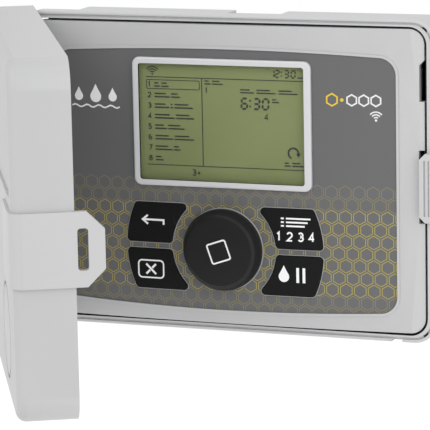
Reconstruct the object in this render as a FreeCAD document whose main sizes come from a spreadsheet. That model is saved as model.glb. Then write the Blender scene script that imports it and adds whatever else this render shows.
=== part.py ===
import FreeCAD, Part
import ast
import math
import os
import re
import Sketcher
from FreeCAD import Vector

# Irrigation controller: a moulded case for a wall, a weather door and a swing-out front panel.
# Frame: the origin is the middle of the case's wall face, +X to the right, +Z up.
# The front faces -Y. "depth" below is the distance from the wall, so depth = -Y.

doc = FreeCAD.newDocument("irrigation_controller")
sheet = doc.addObject("Spreadsheet::Sheet", "dims")

SIZES = {
    # case
    "flange_width": 231.6,
    "flange_height": 169.6,
    "flange_radius": 12.5,
    "flange_depth": 65.0,
    "flange_thick": 7.5,
    "rim_side": 4.8,
    "rim_top": 3.9,
    "mouth_radius": 9.5,
    "web_thick": 2.5,
    "body_width": 221.0,
    "body_height": 158.6,
    "body_radius": 10.0,
    "case_wall": 2.5,
    "groove_inset": 1.7,
    "groove_width": 1.2,
    "groove_deep": 1.0,
    "flange_round": 1.2,
    "crest_width": 30.0,
    "crest_deep": 1.6,
    # wall mounting
    "keyhole_rise": 62.0,
    "keyhole_head": 4.5,
    "keyhole_slot": 2.4,
    "keyhole_length": 8.0,
    "wall_screw_reach": 92.0,
    "wall_screw_drop": 66.0,
    "wall_screw_hole": 2.4,
    # cable entries in the floor of the case
    "entry_depth": 30.0,
    "entry_reach": 60.0,
    "knockout": 11.1,
    "plug_lip": 2.0,
    "plug_lip_thick": 1.2,
    "inlet": 8.0,
    "inlet_bore": 4.2,
    # door and its hinge
    "door_gap": 0.4,
    "door_wall": 1.8,
    "door_depth": 29.5,
    "rim_depth": 53.4,
    "door_face": 2.2,
    "door_step": 67.6,
    "door_step_side": 4.6,
    "door_round": 5.0,
    "door_open": 62.0,
    "door_panel_deep": 1.2,
    "door_panel_inset": 9.0,
    "door_panel_low": 20.7,
    "door_seal_reach": 0.6,
    "seal_width": 3.0,
    "seal_gap": 0.3,
    "pin_inset": 2.4,
    "pin_depth": 54.4,
    "pin": 1.2,
    "pin_running": 0.05,
    "knuckle": 2.4,
    "knuckle_rise": 52.0,
    "knuckle_height": 14.0,
    "ear_height": 5.0,
    "ear_gap": 0.4,
    "root_thick": 1.1,
    "root_reach": 1.1,
    # clasp on the door and lock tab on the case
    "clasp_level": -2.2,
    "clasp_height": 36.0,
    "clasp_thick": 1.4,
    "clasp_reach": 14.0,
    "clasp_back": 40.0,
    "clasp_chamfer": 8.5,
    "slot_length": 20.2,
    "slot_width": 5.2,
    "slot_start": 1.0,
    "slot_radius": 1.6,
    "tab_thick": 2.6,
    "tab_clear": 0.4,
    "strike_reach": 8.2,
    "strike_inset": 1.0,
    "strike_proud": 3.4,
    "strike_clear": 1.2,
    # swing panel
    "panel_gap": 1.5,
    "panel_gap_top": 1.2,
    "panel_radius": 8.0,
    "panel_back": 60.3,
    "face_depth": 68.0,
    "crown_radius": 1515.0,
    "label_sink": 0.5,
    "border_width": 1.3,
    "border_proud": 0.5,
    "box_width": 208.0,
    "box_height": 146.0,
    "box_radius": 6.0,
    "box_wall": 2.0,
    "box_back": 50.0,
    "plate_floor": 63.4,
    "plate_width": 176.0,
    "plate_height": 132.0,
    "cover_thick": 2.0,
    "panel_pin": 1.2,
    "panel_pin_inset": 4.1,
    "panel_pin_depth": 62.2,
    "panel_pin_hold": 4.0,
    "panel_pin_out": 3.4,
    "grip_low": 42.3,
    "grip_high": 63.8,
    "grip_deep": 2.7,
    "grip_scoop": 8.0,
    "grip_scoop_deep": 0.8,
    # label
    "label_width": 189.0,
    "label_high": 66.9,
    "label_low": 72.3,
    "label_arc": 1450.0,
    "label_radius": 9.0,
    "label_thick": 0.4,
    "label_edge": 0.2,
    # display
    "glass_width": 92.0,
    "glass_height": 62.2,
    "glass_level": 27.6,
    "bezel_side": 3.6,
    "bezel_end": 3.2,
    "bezel_radius": 4.0,
    "bezel_proud": 1.2,
    "bezel_back": 61.8,
    "bezel_lip": 1.8,
    "bezel_flange": 1.6,
    "bezel_flange_thick": 1.4,
    "display_inset": 1.1,
    "window_thick": 1.4,
    "display_thick": 2.8,
    "stack_gap": 0.1,
    # dial
    "dial_level": -39.5,
    "dial_radius": 21.9,
    "dial_front": 19.9,
    "dial_flat": 18.2,
    "dial_proud": 8.2,
    "dial_gap": 0.6,
    "dial_wall": 1.8,
    "dial_ring": 0.35,
    "shaft": 3.0,
    "shaft_running": 0.05,
    "bush": 3.6,
    "bush_clear": 0.4,
    # buttons
    "button_inner": 29.3,
    "button_outer": 55.0,
    "button_low": 1.85,
    "button_high": 23.3,
    "button_radius": 2.0,
    "button_clear": 0.3,
    "button_ring": 0.25,
    "button_proud": 1.0,
    "button_lip": 1.0,
    "button_lip_thick": 1.6,
    "button_lip_gap": 0.2,
    "button_travel": 1.0,
    "dome": 3.6,
    "dome_base": 5.0,
    "dome_reach": 42.0,
    "dome_rise": 12.5,
    "mat_thick": 1.2,
    "mat_margin": 6.0,
    # circuit board in the panel
    "board_width": 182.0,
    "board_height": 128.0,
    "board_depth": 55.0,
    "board_thick": 1.6,
    "boss": 3.0,
    "boss_reach": 84.0,
    "boss_rise": 58.0,
    "cover_boss_inset": 5.5,
    "screw": 1.2,
    "screw_head": 2.8,
    "screw_head_high": 1.6,
    # terminal board and transformer in the case
    "terminals_left": -75.0,
    "terminals_width": 170.0,
    "terminals_low": -58.0,
    "terminals_height": 36.0,
    "terminals_depth": 9.0,
    "terminal_pitch": 10.0,
    "terminal_count": 14,
    "terminal_block_high": 12.4,
    "transformer_reach": -66.0,
    "transformer_level": 26.0,
    "core_width": 57.0,
    "core_height": 48.0,
    "core_stack": 20.0,
    "core_depth": 14.0,
    "leg_width": 19.0,
    "winding_thick": 8.5,
    "mains_left": 42.0,
    "mains_width": 60.0,
    "mains_low": 12.0,
    "mains_height": 58.0,
    "mains_depth": 40.0,
    "mains_wall": 1.8,
}

DERIVED = {
    "mouth_x": "flange_width/2 - rim_side",
    "mouth_z": "flange_height/2 - rim_top",
    "body_x": "body_width/2 - case_wall",
    "body_z": "body_height/2 - case_wall",
    "web_depth": "flange_depth - flange_thick",
    "door_x": "flange_width/2 + door_gap",
    "door_z": "flange_height/2 + door_gap",
    "door_front": "rim_depth + door_depth",
    "pin_x": "-(flange_width/2 - pin_inset)",
    "clasp_low": "clasp_level - clasp_height/2",
    "clasp_top": "clasp_level + clasp_height/2",
    "panel_x": "mouth_x - panel_gap",
    "panel_z": "mouth_z - panel_gap_top",
    "hinge_x": "-(panel_x - panel_pin_inset)",
    "label_x": "label_width/2",
    "label_floor": "face_depth - label_sink",
    "glass_x": "glass_width/2",
    "glass_low": "glass_level - glass_height/2",
    "glass_high": "glass_level + glass_height/2",
    "bezel_x": "glass_width/2 + bezel_side",
    "bezel_low": "glass_low - bezel_end",
    "bezel_high": "glass_high + bezel_end",
    "bezel_front": "face_depth + bezel_proud",
    "window_front": "bezel_front - bezel_lip - stack_gap",
    "display_front": "window_front - window_thick - stack_gap",
    "display_back": "display_front - display_thick",
    "board_front": "board_depth + board_thick",
    "lip_back": "plate_floor - button_lip_gap - button_lip_thick",
    "dome_front": "lip_back - button_travel - stack_gap",
    "mat_front": "board_front + stack_gap + mat_thick",
    "cover_depth": "box_back - cover_thick",
    "cover_boss_x": "box_width/2 - cover_boss_inset",
    "cover_boss_z": "box_height/2 - cover_boss_inset",
    "terminals_front": "terminals_depth + board_thick",
    "core_front": "core_depth + core_stack",
}


FUNCTIONS = ("sqrt", "sin", "cos")


def point_at_sheet(found):
    word = found.group(0)
    return word if word in FUNCTIONS else "dims." + word


def expr(text):
    """A formula with every size name pointed at the sheet."""
    return re.sub(r"[a-z][a-z_]+", point_at_sheet, text)


row = 1
for name, number in SIZES.items():
    sheet.set("A%d" % row, name)
    sheet.set("B%d" % row, str(number))
    sheet.setAlias("B%d" % row, name)
    row += 1
for name, formula in DERIVED.items():
    sheet.set("A%d" % row, name)
    sheet.set("B%d" % row, "=" + formula)
    sheet.setAlias("B%d" % row, name)
    row += 1
doc.recompute()

WORKED_OUT = {}


def number(part):
    """Work out one part of a formula that has been taken apart."""
    if isinstance(part, ast.Constant):
        return float(part.value)
    if isinstance(part, ast.Name):
        return float(SIZES[part.id]) if part.id in SIZES else value(DERIVED[part.id])
    if isinstance(part, ast.UnaryOp):
        return -number(part.operand)
    if isinstance(part, ast.Call):
        inside = number(part.args[0])
        if part.func.id == "sqrt":
            return math.sqrt(inside)
        return math.sin(math.radians(inside)) if part.func.id == "sin" else math.cos(math.radians(inside))
    left = number(part.left)
    right = number(part.right)
    if isinstance(part.op, ast.Add):
        return left + right
    if isinstance(part.op, ast.Sub):
        return left - right
    if isinstance(part.op, ast.Mult):
        return left * right
    if isinstance(part.op, ast.Div):
        return left / right
    return left ** right


def value(text):
    """The number that a formula of sizes gives, for laying a sketch out before it is bound."""
    if text not in WORKED_OUT:
        WORKED_OUT[text] = number(ast.parse(text.replace("^", "**")).body[0].value)
    return WORKED_OUT[text]


# ---------------------------------------------------------------- sketches and features

PLANES = {"front": "XZ_Plane", "top": "XY_Plane", "side": "YZ_Plane"}


def new_body(label):
    body = doc.addObject("PartDesign::Body", label)
    body.Label = label
    return body


def sketch_on(body, plane, offset="0"):
    """A sketch on one of the body's own origin planes: front looks at the wall, top looks down."""
    sketch = body.newObject("Sketcher::SketchObject", body.Name + "_sketch")
    role = PLANES[plane]
    origin_plane = [f for f in body.Origin.OriginFeatures if f.Role == role][0]
    sketch.AttachmentSupport = [(origin_plane, "")]
    sketch.MapMode = "FlatFace"
    sketch.setExpression("AttachmentOffset.Base.z", expr(offset))
    return sketch


def pin_point(sketch, geo, point, x_text, z_text):
    """Fix one end or centre of a sketch line at a place given by two expressions."""
    for kind, text in (("DistanceX", x_text), ("DistanceY", z_text)):
        index = sketch.addConstraint(Sketcher.Constraint(kind, -1, 1, geo, point, value(text)))
        sketch.setExpression("Constraints[%d]" % index, expr(text))


def outline(sketch, points):
    """A closed outline. A point is (x, z), or (x, z, radius, turn) where an arc leads to the next:
    turn is 1 where the arc's centre lies to the left of the way along it, and -1 to the right."""
    count = len(points)
    spots = [Vector(value(p[0]), value(p[1]), 0) for p in points]
    first = sketch.GeometryCount
    starts = []
    for i, point in enumerate(points):
        a = spots[i]
        b = spots[(i + 1) % count]
        if len(point) == 2:
            sketch.addGeometry(Part.LineSegment(a, b))
            starts.append((1, 2))
            continue
        radius = value(point[2])
        turn = point[3]
        chord = b - a
        rise = math.sqrt(max(radius ** 2 - chord.Length ** 2 / 4, 0))
        side = Vector(-chord.y, chord.x, 0).normalize()
        centre = (a + b) * 0.5 + side * rise * turn
        from_angle = math.atan2(a.y - centre.y, a.x - centre.x)
        to_angle = math.atan2(b.y - centre.y, b.x - centre.x)
        circle = Part.Circle(centre, Vector(0, 0, 1), radius)
        if turn > 0:
            sketch.addGeometry(Part.ArcOfCircle(circle, from_angle, to_angle))
            starts.append((1, 2))
        else:
            sketch.addGeometry(Part.ArcOfCircle(circle, to_angle, from_angle))
            starts.append((2, 1))
    for i, point in enumerate(points):
        begin = starts[i][0]
        previous = (i - 1) % count
        pin_point(sketch, first + i, begin, point[0], point[1])
        sketch.addConstraint(
            Sketcher.Constraint("Coincident", first + previous, starts[previous][1], first + i, begin))
        if len(point) > 2:
            index = sketch.addConstraint(Sketcher.Constraint("Radius", first + i, value(point[2])))
            sketch.setExpression("Constraints[%d]" % index, expr(point[2]))


def rounded(sketch, x0, z0, x1, z1, radius):
    """A rectangle from its low corner to its high corner, with round corners."""
    left = "%s + %s" % (x0, radius)
    right = "%s - (%s)" % (x1, radius)
    low = "%s + %s" % (z0, radius)
    high = "%s - (%s)" % (z1, radius)
    outline(sketch, [
        (left, z0), (right, z0, radius, 1), (x1, low), (x1, high, radius, 1),
        (right, z1), (left, z1, radius, 1), (x0, high), (x0, low, radius, 1)])


def frame_shape(sketch, half_x, half_z, radius):
    """A rounded rectangle about the middle of the sketch."""
    rounded(sketch, "-(%s)" % half_x, "-(%s)" % half_z, half_x, half_z, radius)


def rectangle(sketch, x0, z0, x1, z1):
    outline(sketch, [(x0, z0), (x1, z0), (x1, z1), (x0, z1)])


def circle(sketch, x_text, z_text, radius):
    spot = Vector(value(x_text), value(z_text), 0)
    geo = sketch.addGeometry(Part.Circle(spot, Vector(0, 0, 1), value(radius)))
    pin_point(sketch, geo, 3, x_text, z_text)
    index = sketch.addConstraint(Sketcher.Constraint("Radius", geo, value(radius)))
    sketch.setExpression("Constraints[%d]" % index, expr(radius))


def pad(body, sketch, length):
    """Material from the sketch towards the front, the top or the right."""
    feature = body.newObject("PartDesign::Pad", body.Name + "_pad")
    feature.Profile = sketch
    feature.setExpression("Length", expr(length))
    body.Tip = feature
    return feature


def pocket(body, sketch, length, forward=False):
    """A cut from the sketch back towards the wall, the floor or the left, or forward."""
    feature = body.newObject("PartDesign::Pocket", body.Name + "_pocket")
    feature.Profile = sketch
    feature.setExpression("Length", expr(length))
    feature.Reversed = forward
    body.Tip = feature
    return feature


def dress(body, kind, size, picks):
    """A fillet or chamfer on the edges of the body so far that picks(edge) accepts."""
    doc.recompute()
    base = body.Tip
    names = ["Edge%d" % (i + 1) for i, edge in enumerate(base.Shape.Edges) if picks(edge)]
    if not names:
        raise RuntimeError("no edge found on " + body.Label)
    feature = body.newObject("PartDesign::" + kind, body.Name + "_" + kind.lower())
    feature.Base = (base, names)
    feature.setExpression("Radius" if kind == "Fillet" else "Size", expr(size))
    body.Tip = feature
    return feature


def at_depth(edge, text, slack=0.02):
    """True where an edge lies flat at one depth."""
    box = edge.BoundBox
    return abs(-box.YMin - value(text)) < slack and abs(-box.YMax - value(text)) < slack


CROWN_SPAN = "(flange_width/2 + 10)"
CROWN_DROP = "(crown_radius - sqrt(crown_radius^2 - %s^2))" % CROWN_SPAN


def crown_cut(body, level):
    """Cut the body's front to the panel's crown, level being the depth at the crown's top."""
    sketch = sketch_on(body, "top", "flange_height")
    edge = "-(%s - %s)" % (level, CROWN_DROP)
    outline(sketch, [
        ("-" + CROWN_SPAN, edge, "crown_radius", 1), (CROWN_SPAN, edge),
        (CROWN_SPAN, "-(face_depth + 20)"), ("-" + CROWN_SPAN, "-(face_depth + 20)")])
    return pocket(body, sketch, "flange_height*2")


def crown_back(body, level):
    """Cut the body's back to the crown, so that a thin piece follows the panel's face."""
    sketch = sketch_on(body, "top", "flange_height")
    edge = "-(%s - %s)" % (level, CROWN_DROP)
    outline(sketch, [
        ("-" + CROWN_SPAN, edge, "crown_radius", 1), (CROWN_SPAN, edge),
        (CROWN_SPAN, "-(face_depth - 20)"), ("-" + CROWN_SPAN, "-(face_depth - 20)")])
    return pocket(body, sketch, "flange_height*2")


# ---------------------------------------------------------------- plain solids

def block(name, x0, x1, depth0, depth1, z0, z1):
    """A box between two places along X, two depths and two heights."""
    box = doc.addObject("Part::Box", name)
    box.setExpression("Length", expr("(%s) - (%s)" % (x1, x0)))
    box.setExpression("Width", expr("(%s) - (%s)" % (depth1, depth0)))
    box.setExpression("Height", expr("(%s) - (%s)" % (z1, z0)))
    box.setExpression("Placement.Base.x", expr(x0))
    box.setExpression("Placement.Base.y", expr("-(%s)" % depth1))
    box.setExpression("Placement.Base.z", expr(z0))
    return box


def rod(name, radius, x_text, depth0, depth1, z_text):
    """A cylinder that points at the front, between two depths."""
    shape = doc.addObject("Part::Cylinder", name)
    shape.setExpression("Radius", expr(radius))
    shape.setExpression("Height", expr("(%s) - (%s)" % (depth1, depth0)))
    shape.Placement = FreeCAD.Placement(Vector(), FreeCAD.Rotation(Vector(1, 0, 0), 90))
    shape.setExpression("Placement.Base.x", expr(x_text))
    shape.setExpression("Placement.Base.y", expr("-(%s)" % depth0))
    shape.setExpression("Placement.Base.z", expr(z_text))
    return shape


def post(name, radius, x_text, depth_text, z0, z1):
    """A cylinder that stands upright, between two heights."""
    shape = doc.addObject("Part::Cylinder", name)
    shape.setExpression("Radius", expr(radius))
    shape.setExpression("Height", expr("(%s) - (%s)" % (z1, z0)))
    shape.setExpression("Placement.Base.x", expr(x_text))
    shape.setExpression("Placement.Base.y", expr("-(%s)" % depth_text))
    shape.setExpression("Placement.Base.z", expr(z0))
    return shape


def bar(name, radius, x0, x1, depth_text, z_text):
    """A cylinder that lies along X."""
    shape = doc.addObject("Part::Cylinder", name)
    shape.setExpression("Radius", expr(radius))
    shape.setExpression("Height", expr("(%s) - (%s)" % (x1, x0)))
    shape.Placement = FreeCAD.Placement(Vector(), FreeCAD.Rotation(Vector(0, 1, 0), 90))
    shape.setExpression("Placement.Base.x", expr(x0))
    shape.setExpression("Placement.Base.y", expr("-(%s)" % depth_text))
    shape.setExpression("Placement.Base.z", expr(z_text))
    return shape


def fuse(name, shapes):
    if len(shapes) == 1:
        return shapes[0]
    joined = doc.addObject("Part::MultiFuse", name)
    joined.Shapes = shapes
    joined.Refine = True
    return joined


def cut(name, base, tools):
    result = doc.addObject("Part::Cut", name)
    result.Base = base
    result.Tool = fuse(name + "_tools", tools)
    return result


def together(name, shapes):
    group = doc.addObject("Part::Compound", name)
    group.Links = shapes
    return group


def node(shape, label):
    shape.Label = label
    NODES.append(shape)
    return shape


NODES = []


def screw(name, x_text, z_text, depth_tip, depth_seat, head=1):
    """A pan head screw. It points at the front where head is 1, and at the wall where it is -1."""
    top = "(%s + %s*screw_head_high)" % (depth_seat, -head)
    low, high = (top, depth_seat) if head == 1 else (depth_seat, top)
    cap = rod(name + "_head", "screw_head", x_text, low, high, z_text)
    low, high = (depth_seat, depth_tip) if head == 1 else (depth_tip, depth_seat)
    shank = rod(name + "_shank", "screw", x_text, low, high, z_text)
    slot_end = "%s + %s*0.7" % (top, head)
    low, high = (top, slot_end) if head == 1 else (slot_end, top)
    slot = block(name + "_slot", "%s - screw_head*0.7" % x_text, "%s + screw_head*0.7" % x_text,
                 low, high, "%s - 0.35" % z_text, "%s + 0.35" % z_text)
    cross = block(name + "_cross", "%s - 0.35" % x_text, "%s + 0.35" % x_text,
                  low, high, "%s - screw_head*0.7" % z_text, "%s + screw_head*0.7" % z_text)
    return cut(name, fuse(name + "_body", [cap, shank]), [slot, cross])


CORNERS = [(-1, -1), (1, -1), (-1, 1), (1, 1)]


# ---------------------------------------------------------------- case

def make_case():
    body = new_body("case_moulding")
    sketch = sketch_on(body, "front")
    frame_shape(sketch, "body_width/2", "body_height/2", "body_radius")
    pad(body, sketch, "web_depth")
    sketch = sketch_on(body, "front", "web_depth")
    frame_shape(sketch, "flange_width/2", "flange_height/2", "flange_radius")
    pad(body, sketch, "flange_thick")
    sketch = sketch_on(body, "front", "flange_depth")
    frame_shape(sketch, "mouth_x", "mouth_z", "mouth_radius")
    pocket(body, sketch, "flange_thick - web_thick")
    sketch = sketch_on(body, "front", "flange_depth")
    frame_shape(sketch, "body_x", "body_z", "body_radius - case_wall")
    pocket(body, sketch, "flange_depth - case_wall")
    dress(body, "Fillet", "flange_round", lambda e: at_depth(e, "flange_depth")
          and max(abs(e.BoundBox.XMin), abs(e.BoundBox.XMax), abs(e.BoundBox.ZMin), abs(e.BoundBox.ZMax))
          > value("flange_height/2") - 0.1 and not inside_mouth(e))
    sketch = sketch_on(body, "front", "flange_depth")
    inset = "groove_inset"
    frame_shape(sketch, "flange_width/2 - " + inset, "flange_height/2 - " + inset, "flange_radius - " + inset)
    inset = "groove_inset - groove_width"
    frame_shape(sketch, "flange_width/2 - " + inset, "flange_height/2 - " + inset, "flange_radius - " + inset)
    pocket(body, sketch, "groove_deep")
    sketch = sketch_on(body, "top", "body_height/2")
    rectangle(sketch, "-crest_width/2", "-(web_depth - 6)", "crest_width/2", "0")
    pocket(body, sketch, "crest_deep")
    sketch = sketch_on(body, "front", "flange_depth")
    rectangle(sketch, "mouth_x - 20", "-flange_height/2 - 1", "mouth_x - 14", "-flange_height/2 + 2.2")
    pocket(body, sketch, "flange_thick - 1")
    add_wall_holes(body)
    add_cable_entries(body)
    add_door_ears(body)
    add_lock_tab(body)
    add_inner_bosses(body)
    add_panel_pivots(body)
    split_case(body)


def split_case(body):
    """The one moulding as touching pieces of a simple shape: a floor, standoffs and four walls."""
    far = "flange_width"
    front = "(flange_depth + 10)"
    near_x = "(body_x - body_radius + case_wall)"
    near_z = "(body_z - body_radius + case_wall)"
    regions = (
        ("case_back", "-" + far, far, "-1", "case_wall", "-" + far, far),
        ("case_standoffs", "-" + near_x, near_x, "case_wall", front, "-" + near_z, near_z),
        ("case_top", "-" + far, far, "case_wall", front, near_z, far),
        ("case_bottom", "-" + far, far, "case_wall", front, "-" + far, "-" + near_z),
        ("case_hinge_side", "-" + far, "-" + near_x, "case_wall", front, "-" + near_z, near_z),
        ("case_lock_side", near_x, far, "case_wall", front, "-" + near_z, near_z),
    )
    for label, x0, x1, depth0, depth1, z0, z1 in regions:
        region = block(label + "_region", x0, x1, depth0, depth1, z0, z1)
        piece = doc.addObject("Part::MultiCommon", label + "_piece")
        piece.Shapes = [body, region]
        node(piece, label)


def inside_mouth(edge):
    """True for an edge of the mouth rather than of the flange's outside."""
    box = edge.BoundBox
    reach = max(abs(box.XMin), abs(box.XMax))
    rise = max(abs(box.ZMin), abs(box.ZMax))
    return reach < value("mouth_x") + 0.2 and rise < value("mouth_z") + 0.2


def add_wall_holes(body):
    sketch = sketch_on(body, "front", "case_wall")
    circle(sketch, "0", "keyhole_rise", "keyhole_head")
    pocket(body, sketch, "case_wall")
    sketch = sketch_on(body, "front", "case_wall")
    rounded(sketch, "-keyhole_slot", "keyhole_rise - keyhole_slot", "keyhole_slot",
            "keyhole_rise + keyhole_length + keyhole_slot", "keyhole_slot*0.98")
    pocket(body, sketch, "case_wall")
    for side in (-1, 1):
        sketch = sketch_on(body, "front", "case_wall")
        circle(sketch, "%d*wall_screw_reach" % side, "-wall_screw_drop", "wall_screw_hole")
        pocket(body, sketch, "case_wall")


def add_cable_entries(body):
    for place, radius in (("-entry_reach", "knockout"), ("0", "knockout"), ("entry_reach", "inlet")):
        sketch = sketch_on(body, "top", "-body_z")
        circle(sketch, place, "-entry_depth", radius)
        pocket(body, sketch, "case_wall")


def hinge_shape(sketch, wall_x):
    """Side of a hinge leaf: square at the wall that carries it, round about the pin."""
    outline(sketch, [
        (wall_x, "-(pin_depth + knuckle)"), ("pin_x", "-(pin_depth + knuckle)", "knuckle", -1),
        ("pin_x - knuckle", "-pin_depth", "knuckle", -1), ("pin_x", "-(pin_depth - knuckle)"),
        (wall_x, "-(pin_depth - knuckle)")])


def add_door_ears(body):
    for side in (-1, 1):
        for end in (-1, 1):
            middle = "(%d*knuckle_rise + %d*(knuckle_height/2 + ear_gap + ear_height/2))" % (side, end)
            sketch = sketch_on(body, "top", middle + " - ear_height/2")
            hinge_shape(sketch, "-(body_width/2 - 0.5)")
            pad(body, sketch, "ear_height")
            sketch = sketch_on(body, "top", middle + " + ear_height/2")
            circle(sketch, "pin_x", "-pin_depth", "pin")
            pocket(body, sketch, "ear_height")
    # root that ties the wall to the flange where the seat is cut away
    sketch = sketch_on(body, "front", "web_depth - root_thick")
    rectangle(sketch, "-(body_width/2 + root_reach)", "-(mouth_z - mouth_radius)", "-(body_x + 0.5)",
              "mouth_z - mouth_radius")
    pad(body, sketch, "root_thick")


def add_lock_tab(body):
    outer = "(flange_width/2)"
    inner = "(flange_width/2 - tab_thick)"
    back = "(rim_depth - clasp_reach)"
    sketch = sketch_on(body, "front", back)
    rectangle(sketch, inner, "clasp_low", outer, "clasp_top")
    pad(body, sketch, "web_depth - %s" % back)
    for low in ("clasp_low", "clasp_top - 2"):
        sketch = sketch_on(body, "front", back)
        rectangle(sketch, "body_width/2 - 0.5", low, inner + " + 0.5", low + " + 2")
        pad(body, sketch, "web_depth - %s" % back)
    dress(body, "Chamfer", "clasp_chamfer*0.5", lambda e: at_depth(e, back)
          and e.BoundBox.XMax > value(outer) - 0.01 and e.BoundBox.XLength > 1)
    sketch = sketch_on(body, "side", "flange_width/2 + 1")
    slot_shape(sketch)
    pocket(body, sketch, "tab_thick + 1.5")
    # ribbed strike in front of the flange, beside the edge of the panel
    sketch = sketch_on(body, "front", "flange_depth - groove_deep")
    near = "flange_width/2 - strike_reach"
    far = "flange_width/2 - strike_inset"
    cant = "3"
    outline(sketch, [
        (near, "clasp_low + " + cant), (near + " + " + cant, "clasp_low"), (far, "clasp_low"),
        (far, "clasp_top"), (near + " + " + cant, "clasp_top"), (near, "clasp_top - " + cant)])
    pad(body, sketch, "strike_proud + groove_deep")
    for step in (2.4, 4.6):
        sketch = sketch_on(body, "front", "flange_depth + strike_proud")
        rectangle(sketch, near + " + %s" % step, "clasp_low + 3.5", near + " + %s" % (step + 0.9),
                  "clasp_top - 3.5")
        pocket(body, sketch, "0.8")


def slot_shape(sketch):
    start = "rim_depth - slot_start"
    rounded(sketch, "-(%s)" % start, "clasp_level - slot_length/2", "-(%s - slot_width)" % start,
            "clasp_level + slot_length/2", "slot_radius")


def add_inner_bosses(body):
    for side, level in CORNERS:
        place = terminal_corner(side, level)
        sketch = sketch_on(body, "front", "case_wall - 0.5")
        circle(sketch, place[0], place[1], "boss")
        pad(body, sketch, "terminals_depth - case_wall + 0.5")
        sketch = sketch_on(body, "front", "terminals_depth")
        circle(sketch, place[0], place[1], "screw")
        pocket(body, sketch, "terminals_depth - case_wall")
    sketch = sketch_on(body, "front", "case_wall - 0.5")
    circle(sketch, MAINS_BOSS[0], MAINS_BOSS[1], "boss + 0.6")
    pad(body, sketch, "mains_depth - mains_wall - case_wall + 0.5")
    sketch = sketch_on(body, "front", "mains_depth - mains_wall")
    circle(sketch, MAINS_BOSS[0], MAINS_BOSS[1], "screw")
    pocket(body, sketch, "12")
    for side in (-1, 1):
        sketch = sketch_on(body, "front", "case_wall")
        circle(sketch, transformer_foot(side), "transformer_level", "screw")
        pocket(body, sketch, "case_wall - 0.6")


def add_panel_pivots(body):
    # the seat is cut away where the panel's hinge edge swings back, and behind the finger grip
    sketch = sketch_on(body, "front", "flange_depth - 1")
    round_x = "-(mouth_x - mouth_radius)"
    round_z = "(mouth_z - mouth_radius)"
    outline(sketch, [
        (round_x, "-mouth_z"), (round_x + " + 1", "-mouth_z"), (round_x + " + 1", "mouth_z"),
        (round_x, "mouth_z", "mouth_radius", 1), ("-mouth_x", round_z),
        ("-mouth_x", "-" + round_z, "mouth_radius", 1)])
    pocket(body, sketch, "flange_thick - 0.6")
    sketch = sketch_on(body, "front", "flange_depth - 1")
    rectangle(sketch, "body_x - 1", "grip_low - 1", "mouth_x", "grip_high + 1")
    pocket(body, sketch, "flange_thick - 0.6")
    for side in (-1, 1):
        start = "mouth_z + panel_pin_out" if side > 0 else "-mouth_z + 2"
        sketch = sketch_on(body, "top", start)
        circle(sketch, "hinge_x", "-panel_pin_depth", "panel_pin + pin_running")
        pocket(body, sketch, "panel_pin_out + 2")


def terminal_corner(side, level):
    return ("(terminals_left + terminals_width/2 + %d*(terminals_width/2 - 4))" % side,
            "(terminals_low + terminals_height/2 + %d*(terminals_height/2 - 4))" % level)


MAINS_BOSS = ("(mains_left + 10)", "(mains_low + 10)")


def transformer_foot(side):
    return "(transformer_reach + %d*(core_width/2 + 5.6))" % side


def make_entries():
    plugs = []
    for index, place in enumerate(("-entry_reach", "0")):
        disc = post("plug_disc%d" % index, "knockout", place, "entry_depth", "-body_height/2", "-body_z + 0.6")
        lip = post("plug_lip%d" % index, "knockout + plug_lip", place, "entry_depth",
                   "-body_height/2 - plug_lip_thick", "-body_height/2")
        dish = post("plug_dish%d" % index, "knockout - 2", place, "entry_depth",
                    "-body_height/2 - 0.1 + 1.4", "-body_z + 1")
        plugs.append(cut("plug%d" % index, fuse("plug_body%d" % index, [disc, lip]), [dish]))
    node(together("knockout_plugs", plugs), "knockout_plugs")
    sleeve = post("inlet_sleeve", "inlet", "entry_reach", "entry_depth", "-body_height/2 - 1", "-body_z + 1")
    lip = post("inlet_lip", "inlet + plug_lip", "entry_reach", "entry_depth",
               "-body_height/2 - plug_lip_thick", "-body_height/2")
    nut = post("inlet_nut", "inlet + plug_lip", "entry_reach", "entry_depth", "-body_z", "-body_z + 1.6")
    bore = post("inlet_hole", "inlet_bore", "entry_reach", "entry_depth", "-body_height/2 - 3", "-body_z + 3")
    node(cut("power_inlet_bushing", fuse("inlet_body", [sleeve, lip, nut]), [bore]), "power_inlet_bushing")


# ---------------------------------------------------------------- door

def open_with_door(shape):
    """Turn a piece that is drawn closed to the open rest place of the door, about the hinge pins."""
    turn = "cos(door_open)"
    lean = "sin(door_open)"
    shape.Placement = FreeCAD.Placement(Vector(), FreeCAD.Rotation(Vector(0, 0, -1), value("door_open")))
    shape.setExpression("Placement.Rotation.Angle", expr("door_open"))
    shape.setExpression("Placement.Base.x", expr("pin_x - (pin_x*%s - pin_depth*%s)" % (turn, lean)))
    shape.setExpression("Placement.Base.y", expr("-pin_depth + pin_x*%s + pin_depth*%s" % (lean, turn)))


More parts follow.
